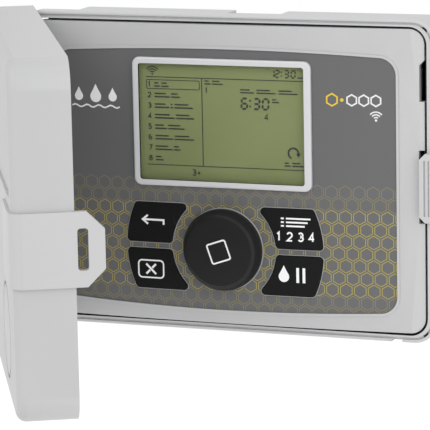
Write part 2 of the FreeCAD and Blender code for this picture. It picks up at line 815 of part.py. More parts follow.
def make_door():
    body = new_body("door")
    outer_x = "door_x + door_wall"
    outer_z = "door_z + door_wall"
    radius = "flange_radius + door_gap"
    sketch = sketch_on(body, "front", "rim_depth")
    frame_shape(sketch, outer_x, outer_z, radius + " + door_wall")
    pad(body, sketch, "door_depth")
    dress(body, "Fillet", "door_round", lambda e: at_depth(e, "door_front"))
    sketch = sketch_on(body, "front", "rim_depth")
    frame_shape(sketch, "door_x", "door_z", radius)
    pocket(body, sketch, "door_step - rim_depth", forward=True)
    sketch = sketch_on(body, "front", "rim_depth")
    frame_shape(sketch, "door_x - door_step_side", "door_z - door_step_side", radius + " - door_step_side")
    pocket(body, sketch, "door_depth - door_face", forward=True)
    # sunk fields on the outside
    sketch = sketch_on(body, "front", "door_front")
    edge_x = "door_x + door_wall - door_panel_inset"
    rounded(sketch, "-(%s)" % edge_x, "door_panel_low", edge_x, "door_z + door_wall - door_panel_inset", "8")
    pocket(body, sketch, "door_panel_deep")
    sketch = sketch_on(body, "front", "door_front")
    circle(sketch, "door_x - 56", "-52", "24")
    circle(sketch, "door_x - 56", "-52", "22")
    pocket(body, sketch, "door_panel_deep*0.7")
    # room for the strike on the case
    sketch = sketch_on(body, "front", "door_step - 0.1")
    rounded(sketch, "flange_width/2 - strike_reach - strike_clear", "clasp_low - strike_clear",
            "door_x", "clasp_top + strike_clear", "1")
    pocket(body, sketch, "strike_proud + 2", forward=True)
    add_clasp(body)
    add_door_knuckles(body)
    open_with_door(body)
    return node(body, "door")


def add_clasp(body):
    outside = "(door_x + door_wall + clasp_thick)"
    face = "(door_front + clasp_thick)"
    end = "(rim_depth - clasp_reach)"
    bend = "(door_round + clasp_thick)"
    sketch = sketch_on(body, "top", "clasp_low")
    outline(sketch, [
        ("door_x", "-" + end), ("door_x", "-(rim_depth + 8)"),
        ("door_x + door_wall/2", "-(rim_depth + 8)"),
        ("door_x + door_wall/2", "-(door_front - door_round)", "door_round - door_wall/2", -1),
        ("door_x + door_wall - door_round", "-(door_front - door_wall/2)"),
        ("door_x - clasp_back", "-(door_front - door_wall/2)"),
        ("door_x - clasp_back", "-" + face),
        (outside + " - " + bend, "-" + face, bend, 1),
        (outside, "-(%s - %s)" % (face, bend)),
        (outside, "-" + end)])
    pad(body, sketch, "clasp_height")
    dress(body, "Chamfer", "clasp_chamfer", lambda e: at_depth(e, end)
          and e.BoundBox.XLength > 1 and e.BoundBox.ZLength < 0.01)
    sketch = sketch_on(body, "side", outside + " + 1")
    slot_shape(sketch)
    pocket(body, sketch, "door_wall + clasp_thick + 1.5")


def add_door_knuckles(body):
    for side in (-1, 1):
        low = "%d*knuckle_rise - knuckle_height/2" % side
        sketch = sketch_on(body, "top", low)
        hinge_block = [
            ("-(door_x + 0.6)", "-(pin_depth - knuckle)"), ("-(door_x + 0.6)", "-(pin_depth + knuckle)"),
            ("pin_x", "-(pin_depth + knuckle)", "knuckle", 1),
            ("pin_x + knuckle", "-pin_depth", "knuckle", 1), ("pin_x", "-(pin_depth - knuckle)")]
        outline(sketch, hinge_block)
        pad(body, sketch, "knuckle_height")
        sketch = sketch_on(body, "top", low + " + knuckle_height")
        circle(sketch, "pin_x", "-pin_depth", "pin + pin_running")
        pocket(body, sketch, "knuckle_height")


def make_door_seal():
    body = new_body("door_seal")
    sketch = sketch_on(body, "front", "flange_depth + seal_gap")
    inset = "door_seal_reach"
    frame_shape(sketch, "door_x - " + inset, "door_z - " + inset, "flange_radius - " + inset)
    inset = "(door_seal_reach + seal_width)"
    frame_shape(sketch, "door_x - " + inset, "door_z - " + inset, "flange_radius - " + inset)
    pad(body, sketch, "door_step - flange_depth - seal_gap")
    sketch = sketch_on(body, "front", "door_step + 1")
    rectangle(sketch, "flange_width/2 - strike_reach - 3", "clasp_low - 2", "door_x + 1", "clasp_top + 2")
    pocket(body, sketch, "door_step - flange_depth + 2")
    open_with_door(body)
    return node(body, "door_seal")


def make_door_pins():
    pins = []
    for index, side in enumerate((-1, 1)):
        reach = "(knuckle_height/2 + ear_gap + ear_height)"
        pins.append(post("door_pin%d" % index, "pin", "pin_x", "pin_depth",
                         "%d*knuckle_rise - %s" % (side, reach), "%d*knuckle_rise + %s" % (side, reach)))
    node(together("door_hinge_pins", pins), "door_hinge_pins")


# ---------------------------------------------------------------- swing panel

def label_shape(sketch, grow):
    """Outline of the label: straight sides, top and bottom gently arched, round corners.
    grow moves the whole outline out."""
    side = "(label_x + %s)" % grow
    corner = "(label_radius + %s)" % grow
    inner = "(%s - %s)" % (side, corner)
    sag = "(label_arc - sqrt(label_arc^2 - %s^2))" % inner
    high = "(label_high + %s - %s)" % (grow, sag)
    low = "-(label_low + %s - %s)" % (grow, sag)
    outline(sketch, [
        ("-" + inner, low, "label_arc", 1), (inner, low, corner, 1),
        (side, "%s + %s" % (low, corner)), (side, "%s - %s" % (high, corner), corner, 1),
        (inner, high, "label_arc", 1), ("-" + inner, high, corner, 1),
        ("-" + side, "%s - %s" % (high, corner)), ("-" + side, "%s + %s" % (low, corner), corner, 1)])


def button_shape(sketch, side, level, grow):
    """Outline of one button, a piece of a ring about the dial with round corners. side and level
    are 1 or -1, and grow moves the whole outline out."""
    inner = "(button_inner - (%s))" % grow
    outer = "(button_outer + %s)" % grow
    low = "(button_low - (%s))" % grow
    high = "(button_high + %s)" % grow
    round_off = "(button_radius + %s)" % grow

    def spot(across, rise):
        return "%d*%s" % (side, across), "dial_level + %d*%s" % (level, rise)

    def corner(ring_radius, centre_radius, line, centre_rise):
        """Where a corner's small arc meets the straight line, and where it meets the ring's edge."""
        across = "sqrt(%s^2 - %s^2)" % (centre_radius, centre_rise)
        scale = "%s/%s" % (ring_radius, centre_radius)
        return spot(across, line), spot(across + "*" + scale, centre_rise + "*" + scale)

    inside = "(%s + %s)" % (inner, round_off)
    outside = "(%s - %s)" % (outer, round_off)
    rise_low = "(%s + %s)" % (low, round_off)
    rise_high = "(%s - %s)" % (high, round_off)
    a_line, a_ring = corner(inner, inside, low, rise_low)
    b_line, b_ring = corner(outer, outside, low, rise_low)
    c_line, c_ring = corner(outer, outside, high, rise_high)
    d_line, d_ring = corner(inner, inside, high, rise_high)
    turn = side * level
    outline(sketch, [
        a_line, (*b_line, round_off, turn), (*b_ring, outer, turn), (*c_ring, round_off, turn),
        c_line, (*d_line, round_off, turn), (*d_ring, inner, -turn), (*a_ring, round_off, turn)])


BUTTONS = {
    "back_button": (-1, 1),
    "clear_button": (-1, -1),
    "program_button": (1, 1),
    "rain_delay_button": (1, -1),
}


def bezel_shape(sketch, grow, radius):
    rounded(sketch, "-(bezel_x + %s)" % grow, "bezel_low - (%s)" % grow, "bezel_x + %s" % grow,
            "bezel_high + %s" % grow, radius)


def glass_shape(sketch, grow, radius):
    rounded(sketch, "-(glass_x + %s)" % grow, "glass_low - (%s)" % grow, "glass_x + %s" % grow,
            "glass_high + %s" % grow, radius)


def make_panel_frame():
    body = new_body("panel_frame")
    top = "face_depth + 3"
    sketch = sketch_on(body, "front", "panel_back")
    frame_shape(sketch, "panel_x", "panel_z", "panel_radius")
    pad(body, sketch, top + " - panel_back")
    crown_cut(body, "label_floor")
    sketch = sketch_on(body, "front", "plate_floor")
    frame_shape(sketch, "panel_x", "panel_z", "panel_radius")
    label_shape(sketch, "label_edge")
    pad(body, sketch, top + " - plate_floor")
    for side, level in BUTTONS.values():
        sketch = sketch_on(body, "front", "plate_floor + 0.5")
        button_shape(sketch, side, level, "button_clear + button_ring")
        pad(body, sketch, top + " - plate_floor - 0.5")
    sketch = sketch_on(body, "front", "plate_floor + 0.5")
    circle(sketch, "0", "dial_level", "dial_radius + dial_ring")
    pad(body, sketch, top + " - plate_floor - 0.5")
    crown_cut(body, "face_depth")
    sketch = sketch_on(body, "front", "plate_floor")
    label_shape(sketch, "label_edge + border_width")
    label_shape(sketch, "label_edge")
    pad(body, sketch, top + " - plate_floor")
    crown_cut(body, "face_depth + border_proud")
    # box behind the face
    sketch = sketch_on(body, "front", "box_back")
    frame_shape(sketch, "box_width/2", "box_height/2", "box_radius")
    frame_shape(sketch, "box_width/2 - box_wall", "box_height/2 - box_wall", "box_radius - box_wall")
    pad(body, sketch, "panel_back - box_back + 0.5")
    sketch = sketch_on(body, "front", "box_back")
    frame_shape(sketch, "plate_width/2", "plate_height/2", "4")
    pocket(body, sketch, "plate_floor - box_back", forward=True)
    for side, level in CORNERS:
        spots = (("%d*boss_reach" % side, "%d*boss_rise" % level, "board_front", "plate_floor"),
                 ("%d*cover_boss_x" % side, "%d*cover_boss_z" % level, "box_back", "panel_back"))
        for x_text, z_text, start, end in spots:
            sketch = sketch_on(body, "front", start)
            circle(sketch, x_text, z_text, "boss")
            pad(body, sketch, "%s - %s + 0.5" % (end, start))
            sketch = sketch_on(body, "front", start)
            circle(sketch, x_text, z_text, "screw")
            pocket(body, sketch, "5", forward=True)
    # openings
    sketch = sketch_on(body, "front", top)
    bezel_shape(sketch, "stack_gap", "bezel_radius")
    pocket(body, sketch, top + " - board_front")
    for side, level in BUTTONS.values():
        sketch = sketch_on(body, "front", top)
        button_shape(sketch, side, level, "button_clear")
        pocket(body, sketch, top + " - board_front")
    sketch = sketch_on(body, "front", top)
    circle(sketch, "0", "dial_level", "bush + bush_clear")
    pocket(body, sketch, top + " - board_front")
    # room for the strike, finger grip and its scoop
    sketch = sketch_on(body, "front", top)
    rectangle(sketch, "flange_width/2 - strike_reach - strike_clear", "clasp_low - strike_clear",
              "panel_x + 1", "clasp_top + strike_clear")
    pocket(body, sketch, top + " - panel_back + 0.5")
    sketch = sketch_on(body, "front", top)
    outline(sketch, [("panel_x - grip_deep", "grip_low"), ("panel_x + 1", "grip_low"),
                     ("panel_x + 1", "grip_high + 1"), ("panel_x", "grip_high"),
                     ("panel_x - grip_deep", "grip_high - grip_deep")])
    pocket(body, sketch, top + " - panel_back + 0.5")
    for side in (-1, 1):
        start = "panel_z" if side > 0 else "-panel_z + panel_pin_hold"
        sketch = sketch_on(body, "top", start)
        circle(sketch, "hinge_x", "-panel_pin_depth", "panel_pin")
        pocket(body, sketch, "panel_pin_hold")
    return node(body, "panel_frame")


def make_panel_pins():
    pins = []
    for index, side in enumerate((-1, 1)):
        reach = ("panel_z - panel_pin_hold", "mouth_z + panel_pin_out - 0.3")
        low, high = reach if side > 0 else ("-(%s)" % reach[1], "-(%s)" % reach[0])
        pins.append(post("panel_pin%d" % index, "panel_pin", "hinge_x", "panel_pin_depth", low, high))
    node(together("panel_hinge_pins", pins), "panel_hinge_pins")


def make_label():
    body = new_body("overlay_label")
    sketch = sketch_on(body, "front", "plate_floor")
    label_shape(sketch, "0")
    pad(body, sketch, "10")
    sketch = sketch_on(body, "front", "face_depth + 8")
    bezel_shape(sketch, "0.25", "bezel_radius")
    pocket(body, sketch, "20")
    for side, level in BUTTONS.values():
        sketch = sketch_on(body, "front", "face_depth + 8")
        button_shape(sketch, side, level, "button_clear + button_ring + 0.15")
        pocket(body, sketch, "20")
    sketch = sketch_on(body, "front", "face_depth + 8")
    circle(sketch, "0", "dial_level", "dial_radius + dial_ring + 0.15")
    pocket(body, sketch, "20")
    crown_cut(body, "label_floor + label_thick")
    crown_back(body, "label_floor")
    return node(body, "overlay_label")


def make_display():
    body = new_body("lcd_bezel")
    sketch = sketch_on(body, "front", "bezel_back")
    bezel_shape(sketch, "0", "bezel_radius")
    pad(body, sketch, "bezel_front - bezel_back")
    dress(body, "Fillet", "1.1", lambda e: at_depth(e, "bezel_front"))
    sketch = sketch_on(body, "front", "bezel_back")
    bezel_shape(sketch, "bezel_flange", "bezel_radius + bezel_flange")
    pad(body, sketch, "bezel_flange_thick")
    sketch = sketch_on(body, "front", "bezel_front")
    glass_shape(sketch, "0", "1.5")
    pocket(body, sketch, "bezel_front - bezel_back")
    sketch = sketch_on(body, "front", "bezel_back")
    glass_shape(sketch, "display_inset + stack_gap", "1.5")
    pocket(body, sketch, "bezel_front - bezel_lip - bezel_back", forward=True)
    node(body, "lcd_bezel")
    for label, grow, depth0, depth1 in (
            ("lcd_window", "display_inset", "window_front - window_thick", "window_front"),
            ("lcd_display", "display_inset - 0.2", "display_back", "display_front")):
        body = new_body(label)
        sketch = sketch_on(body, "front", depth0)
        glass_shape(sketch, grow, "1.2")
        pad(body, sketch, "%s - (%s)" % (depth1, depth0))
        node(body, label)
    body = new_body("backlight_holder")
    sketch = sketch_on(body, "front", "board_front + stack_gap")
    glass_shape(sketch, "display_inset + 3", "2")
    pad(body, sketch, "bezel_back - stack_gap*3 - board_front")
    sketch = sketch_on(body, "front", "bezel_back - stack_gap*4")
    glass_shape(sketch, "display_inset - 0.4", "1")
    pad(body, sketch, "display_back - stack_gap - bezel_back + stack_gap*4")
    node(body, "backlight_holder")


def make_dial():
    body = new_body("dial_knob")
    back = "(face_depth + dial_gap)"
    front = "(face_depth + dial_proud)"
    sketch = sketch_on(body, "side")
    outline(sketch, [
        ("-" + front, "0"), ("-(%s - 2.5)" % front, "0"),
        ("-(%s - 2.5)" % front, "shaft + 0.02"), ("-(%s - 0.4)" % back, "shaft + 0.02"),
        ("-(%s - 0.4)" % back, "shaft*2"), ("-(%s - 2.5)" % front, "shaft*2"),
        ("-(%s - 2.5)" % front, "dial_front - dial_wall"), ("-" + back, "dial_radius - dial_wall"),
        ("-" + back, "dial_radius"), ("-(%s + 2.3)" % back, "dial_radius"),
        ("-(%s - 0.8)" % front, "dial_front"), ("-" + front, "dial_flat")])
    turned = body.newObject("PartDesign::Revolution", "dial_turned")
    turned.Profile = sketch
    turned.ReferenceAxis = (sketch, ["H_Axis"])
    turned.Angle = 360.0
    body.Tip = turned
    body.setExpression("Placement.Base.z", expr("dial_level"))
    node(body, "dial_knob")
    shaft_end = "(board_front + 2.4)"
    node(rod("encoder_shaft", "shaft", "0", shaft_end, front + " - 2.5", "dial_level"), "encoder_shaft")
    half = "6.5"
    can = block("encoder_can", "-" + half, half, "board_front", "board_front + 5.2",
                "dial_level - " + half, "dial_level + " + half)
    neck = rod("encoder_neck", "bush", "0", "board_front + 5", "label_floor - 0.6", "dial_level")
    bore = rod("encoder_bore", "shaft + shaft_running", "0", shaft_end + " - 0.3", "face_depth", "dial_level")
    node(cut("dial_encoder", fuse("encoder_body", [can, neck]), [bore]), "dial_encoder")


def make_buttons():
    for label, (side, level) in BUTTONS.items():
        body = new_body(label)
        sketch = sketch_on(body, "front", "lip_back + button_lip_thick - 0.01")
        button_shape(sketch, side, level, "0")
        pad(body, sketch, "face_depth + 4 - lip_back - button_lip_thick")
        crown_cut(body, "face_depth + button_proud")
        dress(body, "Fillet", "0.5", lambda e: -e.BoundBox.YMin > value("face_depth - 1")
              and e.BoundBox.YLength < 2.9)
        sketch = sketch_on(body, "front", "lip_back")
        button_shape(sketch, side, level, "button_lip")
        pad(body, sketch, "button_lip_thick")
        node(body, label)


def make_keypad():
    reach = "(button_outer + mat_margin)"
    rise = "(button_high + mat_margin/4)"
    back = "board_front + stack_gap"
    mat = block("mat_sheet", "-" + reach, reach, back, "mat_front", "dial_level - " + rise,
                "dial_level + " + rise)
    domes = []
    for index, (side, level) in enumerate(BUTTONS.values()):
        dome = doc.addObject("Part::Cone", "dome%d" % index)
        dome.setExpression("Radius1", expr("dome_base"))
        dome.setExpression("Radius2", expr("dome"))
        dome.setExpression("Height", expr("dome_front - mat_front + 0.2"))
        dome.Placement = FreeCAD.Placement(Vector(), FreeCAD.Rotation(Vector(1, 0, 0), 90))
        dome.setExpression("Placement.Base.x", expr("%d*dome_reach" % side))
        dome.setExpression("Placement.Base.y", expr("-(mat_front - 0.2)"))
        dome.setExpression("Placement.Base.z", expr("dial_level + %d*dome_rise" % level))
        domes.append(dome)
    window = block("mat_window", "-11", "11", back + " - 1", "mat_front + 1", "dial_level - 11", "dial_level + 11")
    node(cut("keypad_mat", fuse("mat_body", [mat] + domes), [window]), "keypad_mat")


def make_main_board():
    body = new_body("main_board")
    sketch = sketch_on(body, "front", "board_depth")
    frame_shape(sketch, "board_width/2", "board_height/2", "2")
    for side, level in CORNERS:
        circle(sketch, "%d*boss_reach" % side, "%d*boss_rise" % level, "screw + 0.3")
    pad(body, sketch, "board_thick")
    node(body, "main_board")
    screws = [screw("board_screw%d" % i, "%d*boss_reach" % side, "%d*boss_rise" % level,
                    "board_front + 4.6", "board_depth") for i, (side, level) in enumerate(CORNERS)]
    node(together("board_screws", screws), "board_screws")


def make_rear_cover():
    body = new_body("panel_rear_cover")
    sketch = sketch_on(body, "front", "cover_depth")
    frame_shape(sketch, "box_width/2", "box_height/2", "box_radius")
    for side, level in CORNERS:
        circle(sketch, "%d*cover_boss_x" % side, "%d*cover_boss_z" % level, "screw + 0.3")
    rounded(sketch, RIBBON_LEFT + " - 2", "-44", RIBBON_LEFT + " + 24", "-38", "1")
    pad(body, sketch, "cover_thick")
    sketch = sketch_on(body, "front", "cover_depth")
    frame_shape(sketch, "box_width/2 - 16", "box_height/2 - 12", "4")
    frame_shape(sketch, "box_width/2 - 17.5", "box_height/2 - 13.5", "3")
    pocket(body, sketch, "0.6", forward=True)
    node(body, "panel_rear_cover")
    screws = [screw("cover_screw%d" % i, "%d*cover_boss_x" % side, "%d*cover_boss_z" % level,
                    "box_back + 4.6", "cover_depth") for i, (side, level) in enumerate(CORNERS)]
    node(together("rear_cover_screws", screws), "rear_cover_screws")


RIBBON_LEFT = "-84"


def make_panel_electronics():
    back = "board_depth"
    card = block("wifi_card", "50", "76", back + " - 1", back, "10", "30")
    can = block("wifi_can", "52", "70", back + " - 3.2", back + " - 0.8", "12", "28")
    node(fuse("wireless_module", [card, can]), "wireless_module")
    ring = rod("cell_ring", "12.2", "20", back + " - 4.2", back, "-20")
    seat = rod("cell_seat", "10.2", "20", back + " - 5", back + " - 0.8", "-20")
    node(cut("cell_holder", ring, [seat]), "cell_holder")
    node(rod("coin_cell", "10", "20", back + " - 4.1", back + " - 0.9", "-20"), "coin_cell")
    shell = block("panel_header_shell", RIBBON_LEFT + " - 2", RIBBON_LEFT + " + 24", back + " - 4.6", back,
                  "-45", "-37")
    well = block("panel_header_well", RIBBON_LEFT + " - 1", RIBBON_LEFT + " + 23", back + " - 5", back + " - 1",
                 "-44", "-38")
    node(cut("panel_header", shell, [well]), "panel_header")


# ---------------------------------------------------------------- wiring bay

def make_terminal_board():
    body = new_body("terminal_board")
    sketch = sketch_on(body, "front", "terminals_depth")
    rounded(sketch, "terminals_left", "terminals_low", "terminals_left + terminals_width",
            "terminals_low + terminals_height", "1.5")
    for side, level in CORNERS:
        place = terminal_corner(side, level)
        circle(sketch, place[0], place[1], "screw + 0.3")
    pad(body, sketch, "board_thick")
    node(body, "terminal_board")
    screws = []
    for index, (side, level) in enumerate(CORNERS):
        place = terminal_corner(side, level)
        screws.append(screw("terminal_board_screw%d" % index, place[0], place[1],
                            "terminals_depth - 5", "terminals_front", head=-1))
    node(together("terminal_board_screws", screws), "terminal_board_screws")


def make_terminal_strip():
    left = "(terminals_left + 15)"
    low = "(terminals_low + 1.5)"
    high = "(terminals_low + 14.5)"
    front = "(terminals_front + terminal_block_high)"
    count = int(SIZES["terminal_count"])
    base = block("strip_base", left, "%s + terminal_pitch*terminal_count" % left, "terminals_front", front,
                 low, high)
    cuts = []
    screws = []
    for index in range(count):
        x_text = "%s + terminal_pitch*%s" % (left, index + 0.5)
        z_text = "%s - 4.4" % high
        cuts.append(rod("strip_well%d" % index, "2.4", x_text, front + " - 5", front + " + 1", z_text))
        cuts.append(block("strip_entry%d" % index, x_text + " - 1.8", x_text + " + 1.8",
                          "terminals_front + 1.4", "terminals_front + 5", low + " - 1", low + " + 9"))
        head = rod("strip_screw_head%d" % index, "2.1", x_text, front + " - 5", front + " - 2.4", z_text)
        slit = block("strip_screw_slit%d" % index, x_text + " - 1.8", x_text + " + 1.8",
                     front + " - 3.2", front + " - 2", z_text + " - 0.3", z_text + " + 0.3")
        screws.append(cut("strip_screw%d" % index, head, [slit]))
    node(cut("terminal_strip", base, cuts), "terminal_strip")
    node(together("terminal_screws", screws), "terminal_screws")
    bridge_x = left + " + terminal_pitch*terminal_count + 4"
    node(block("sensor_jumper", bridge_x, bridge_x + " + 7", "terminals_front", "terminals_front + 7",
               low + " + 9", low + " + 12"), "sensor_jumper")


def make_board_parts():
    back = "terminals_front"
    shell = block("board_header_shell", RIBBON_LEFT + " + 14", RIBBON_LEFT + " + 40", back, back + " + 8",
                  "-38", "-30")
    well = block("board_header_well", RIBBON_LEFT + " + 15", RIBBON_LEFT + " + 39", back + " + 2", back + " + 9",
                 "-37", "-31")
    node(cut("board_header", shell, [well]), "board_header")
    clips = []
    for index, x_text in enumerate(("10", "27")):
        clip = block("fuse_clip%d" % index, x_text, x_text + " + 5", back, back + " + 7.4", "-35.4", "-28.6")
        gap = bar("fuse_gap%d" % index, "2.62", x_text + " - 1", x_text + " + 6", back + " + 5", "-32")
        mouth = block("fuse_mouth%d" % index, x_text + " - 1", x_text + " + 6", back + " + 5", back + " + 9",
                      "-34", "-30")
        clips.append(cut("fuse_holder%d" % index, clip, [gap, mouth]))
    node(together("fuse_holder", clips), "fuse_holder")
    glass = bar("fuse_glass", "2.3", "11.5", "30.5", back + " + 5", "-32")
    caps = [bar("fuse_cap%d" % i, "2.6", a, b, back + " + 5", "-32") for i, (a, b) in
            enumerate((("10.5", "15"), ("27", "31.5")))]
    node(fuse("fuse", [glass] + caps), "fuse")


def make_ribbon():
    """Flat cable from the terminal board to the panel, drawn with the panel shut."""
    body = new_body("ribbon_cable")
    sketch = sketch_on(body, "side", RIBBON_LEFT + " + 16")
    low = "terminals_front + 2.2"
    thick = "1"
    outline(sketch, [
        ("-(%s)" % low, "-34.5"), ("-(%s)" % low, "-33.5"),
        ("-(cover_depth - 6)", "-33.5"), ("-(cover_depth - 6 + %s)" % thick, "-34.5"),
        ("-(cover_depth - 6 + %s)" % thick, "-40.5"), ("-(board_depth - 1.2)", "-40.5"),
        ("-(board_depth - 1.2)", "-41.5"), ("-(cover_depth - 6)", "-41.5"),
        ("-(cover_depth - 6)", "-34.5")])
    pad(body, sketch, "6")
    node(body, "ribbon_cable")


def make_transformer():
    x_text = "transformer_reach"
    z_text = "transformer_level"
    wide = "(core_width/2)"
    tall = "(core_height/2)"
    leg = "(leg_width/2)"
    window = "(core_height/2 - leg_width/2)"
    plates = block("core_plates", "%s - %s" % (x_text, wide), "%s + %s" % (x_text, wide), "core_depth",
                   "core_front", "%s - %s" % (z_text, tall), "%s + %s" % (z_text, tall))
    holes = []
    for index, side in enumerate((-1, 1)):
        near = "%s + %d*%s" % (x_text, side, leg)
        far = "%s + %d*leg_width" % (x_text, side)
        low, high = (near, far) if side > 0 else (far, near)
        holes.append(block("core_window%d" % index, low, high, "core_depth - 1", "core_front + 1",
                           "%s - %s" % (z_text, window), "%s + %s" % (z_text, window)))
    node(cut("transformer_core", plates, holes), "transformer_core")

    def sleeve(name, grow, low_rise, high_rise, inner):
        return cut(name, ring_block(name + "_out", grow, low_rise, high_rise),
                   [ring_block(name + "_in", inner, low_rise + " - 1", high_rise + " + 1")])

    def ring_block(name, grow, low_rise, high_rise):
        return block(name, "%s - %s - %s" % (x_text, leg, grow), "%s + %s + %s" % (x_text, leg, grow),
                     "core_depth - " + grow, "core_front + " + grow, z_text + " + " + low_rise,
                     z_text + " + " + high_rise)

    reach = "(winding_thick)"
    edge = "(%s - 0.2)" % window
    thin = "1.2"
    tube = sleeve("bobbin_tube", "1", "(0 - %s)" % edge, edge, "0.1")
    low_flange = sleeve("bobbin_low", reach, "(0 - %s)" % edge, "(0 - %s + %s)" % (edge, thin), "0.1")
    high_flange = sleeve("bobbin_high", reach, "(%s - %s)" % (edge, thin), edge, "0.1")
    node(fuse("transformer_bobbin", [tube, low_flange, high_flange]), "transformer_bobbin")
    inner_edge = "(%s - %s)" % (edge, thin)
    node(sleeve("transformer_winding", "(winding_thick - 0.8)", "(0 - %s)" % inner_edge, inner_edge, "1"),
         "transformer_winding")
    brackets = []
    screws = []
    for index, side in enumerate((-1, 1)):
        near = "%s + %d*%s" % (x_text, side, wide)
        far = "%s + %d*(%s + 1.4)" % (x_text, side, wide)
        toe = "%s + %d*(%s + 10)" % (x_text, side, wide)
        low, high = (near, far) if side > 0 else (far, near)
        wall = block("bracket_wall%d" % index, low, high, "case_wall", "core_front", z_text + " - 12",
                     z_text + " + 12")
        low, high = (near, toe) if side > 0 else (toe, near)
        foot = block("bracket_foot%d" % index, low, high, "case_wall", "case_wall + 1.4", z_text + " - 12",
                     z_text + " + 12")
        hole = rod("bracket_hole%d" % index, "screw + 0.2", transformer_foot(side), "case_wall - 1",
                   "case_wall + 3", z_text)
        brackets.append(cut("bracket%d" % index, fuse("bracket_body%d" % index, [wall, foot]), [hole]))
        screws.append(screw("transformer_screw%d" % index, transformer_foot(side), z_text, "0.8",
                            "case_wall + 1.4", head=-1))
    node(together("transformer_brackets", brackets), "transformer_brackets")
    node(together("transformer_screws", screws), "transformer_screws")


def make_mains():
    right = "mains_left + mains_width"
    high = "mains_low + mains_height"
    shell = block("mains_shell", "mains_left", right, "case_wall", "mains_depth", "mains_low", high)
    hollow = block("mains_hollow", "mains_left + mains_wall", right + " - mains_wall", "case_wall - 1",
                   "mains_depth - mains_wall", "mains_low + mains_wall", high + " - mains_wall")
    mouth = block("mains_mouth", right + " - 22", right + " - 8", "case_wall - 1", "case_wall + 12",
                  "mains_low - 1", "mains_low + mains_wall + 1")
    hole = rod("mains_hole", "screw + 0.3", MAINS_BOSS[0], "mains_depth - mains_wall - 1", "mains_depth + 1",
               MAINS_BOSS[1])
    node(cut("mains_cover", shell, [hollow, mouth, hole]), "mains_cover")
    node(screw("mains_cover_screw", MAINS_BOSS[0], MAINS_BOSS[1], "mains_depth - mains_wall - 10",
               "mains_depth", head=-1), "mains_cover_screw")
    left = "(%s - 46)" % right
    low = "(%s - 28)" % high
    base = block("mains_block", left, left + " + 36", "case_wall", "case_wall + 15", low, low + " + 18")
    wells = []
    screws = []
    for index in range(3):
        x_text = "%s + 6 + 12*%d" % (left, index)
        z_text = low + " + 9"
        wells.append(rod("mains_well%d" % index, "3", x_text, "case_wall + 9", "case_wall + 16", z_text))
        wells.append(block("mains_entry%d" % index, x_text + " - 1.9", x_text + " + 1.9", "case_wall + 2.4",
                           "case_wall + 6.2", low + " - 1", low + " + 12"))
        head = rod("mains_screw_head%d" % index, "2.7", x_text, "case_wall + 9", "case_wall + 12", z_text)
        slit = block("mains_screw_slit%d" % index, x_text + " - 2.2", x_text + " + 2.2", "case_wall + 11",
                     "case_wall + 13", z_text + " - 0.4", z_text + " + 0.4")
        screws.append(cut("mains_screw%d" % index, head, [slit]))
    node(cut("mains_terminal_block", base, wells), "mains_terminal_block")
    node(together("mains_terminal_screws", screws), "mains_terminal_screws")


# ---------------------------------------------------------------- build, check and write

def build():
    make_case()
    make_entries()
    make_door()
    make_door_seal()
    make_door_pins()
    make_panel_frame()
    make_panel_pins()
    make_label()
    make_display()
    make_dial()
    make_buttons()
    make_keypad()
    make_main_board()
    make_rear_cover()
    make_panel_electronics()
    make_terminal_board()
    make_terminal_strip()
    make_board_parts()
    make_ribbon()
    make_transformer()
    make_mains()


def check():
    doc.recompute()
    for item in doc.Objects:
        states = [state for state in item.State if state in ("Invalid", "Error")]
        if states:
            raise RuntimeError("%s failed: %s" % (item.Name, ", ".join(states)))
    for item in NODES:
        shape = item.Shape
        if shape.isNull() or not shape.isValid():
            raise RuntimeError("%s has no valid shape" % item.Label)


def write():
    os.makedirs("parts", exist_ok=True)
    for item in NODES:
        item.Shape.exportStep("parts/%s.step" % item.Label)
        print(item.Label, "solids", len(item.Shape.Solids), "volume", round(item.Shape.Volume, 1))


build()
check()
write()
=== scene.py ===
import math
import bmesh
import bpy
from mathutils import Matrix, Vector


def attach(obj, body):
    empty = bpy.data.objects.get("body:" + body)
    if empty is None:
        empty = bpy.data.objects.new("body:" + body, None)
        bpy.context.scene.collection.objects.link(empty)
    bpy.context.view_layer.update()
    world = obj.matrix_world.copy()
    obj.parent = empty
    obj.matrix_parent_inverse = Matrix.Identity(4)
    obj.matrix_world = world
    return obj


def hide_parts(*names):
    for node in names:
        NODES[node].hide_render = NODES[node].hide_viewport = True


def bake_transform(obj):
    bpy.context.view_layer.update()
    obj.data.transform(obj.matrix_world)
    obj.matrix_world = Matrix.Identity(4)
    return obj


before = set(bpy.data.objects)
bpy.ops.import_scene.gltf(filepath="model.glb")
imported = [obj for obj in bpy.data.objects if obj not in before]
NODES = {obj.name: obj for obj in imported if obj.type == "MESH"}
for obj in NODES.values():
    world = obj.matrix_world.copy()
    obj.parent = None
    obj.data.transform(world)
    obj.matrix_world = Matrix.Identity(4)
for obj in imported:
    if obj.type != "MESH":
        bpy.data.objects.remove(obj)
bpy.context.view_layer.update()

MM = 0.001
CROWN = 2 * 1515.0          # twice the radius of the panel's crown, in mm
FACE = 68.0                 # depth of the panel's face at the middle
LABEL = 67.9                # depth of the label's face at the middle
BUTTON = 69.0               # depth of the buttons' face at the middle
DISPLAY = 65.8              # depth of the display's front glass
DIAL_Z = -39.5              # height of the dial's middle
DIAL_FACE = 76.2            # depth of the dial's face
BOARD_FACE = 10.6           # depth of the terminal board's face

# the hexagon print, in metres: one cell's width, and the middle of the first cell of the first row
HEX_PITCH = 0.0075
HEX_X, HEX_Z = -0.0828, -0.0065

# half sizes of the case's mouth, and the depths between which its seat is painted dark as shade, in metres
MOUTH_X, MOUTH_Z = 0.11105, 0.08095
SEAT_BACK, SEAT_FRONT = 0.0569, 0.0648
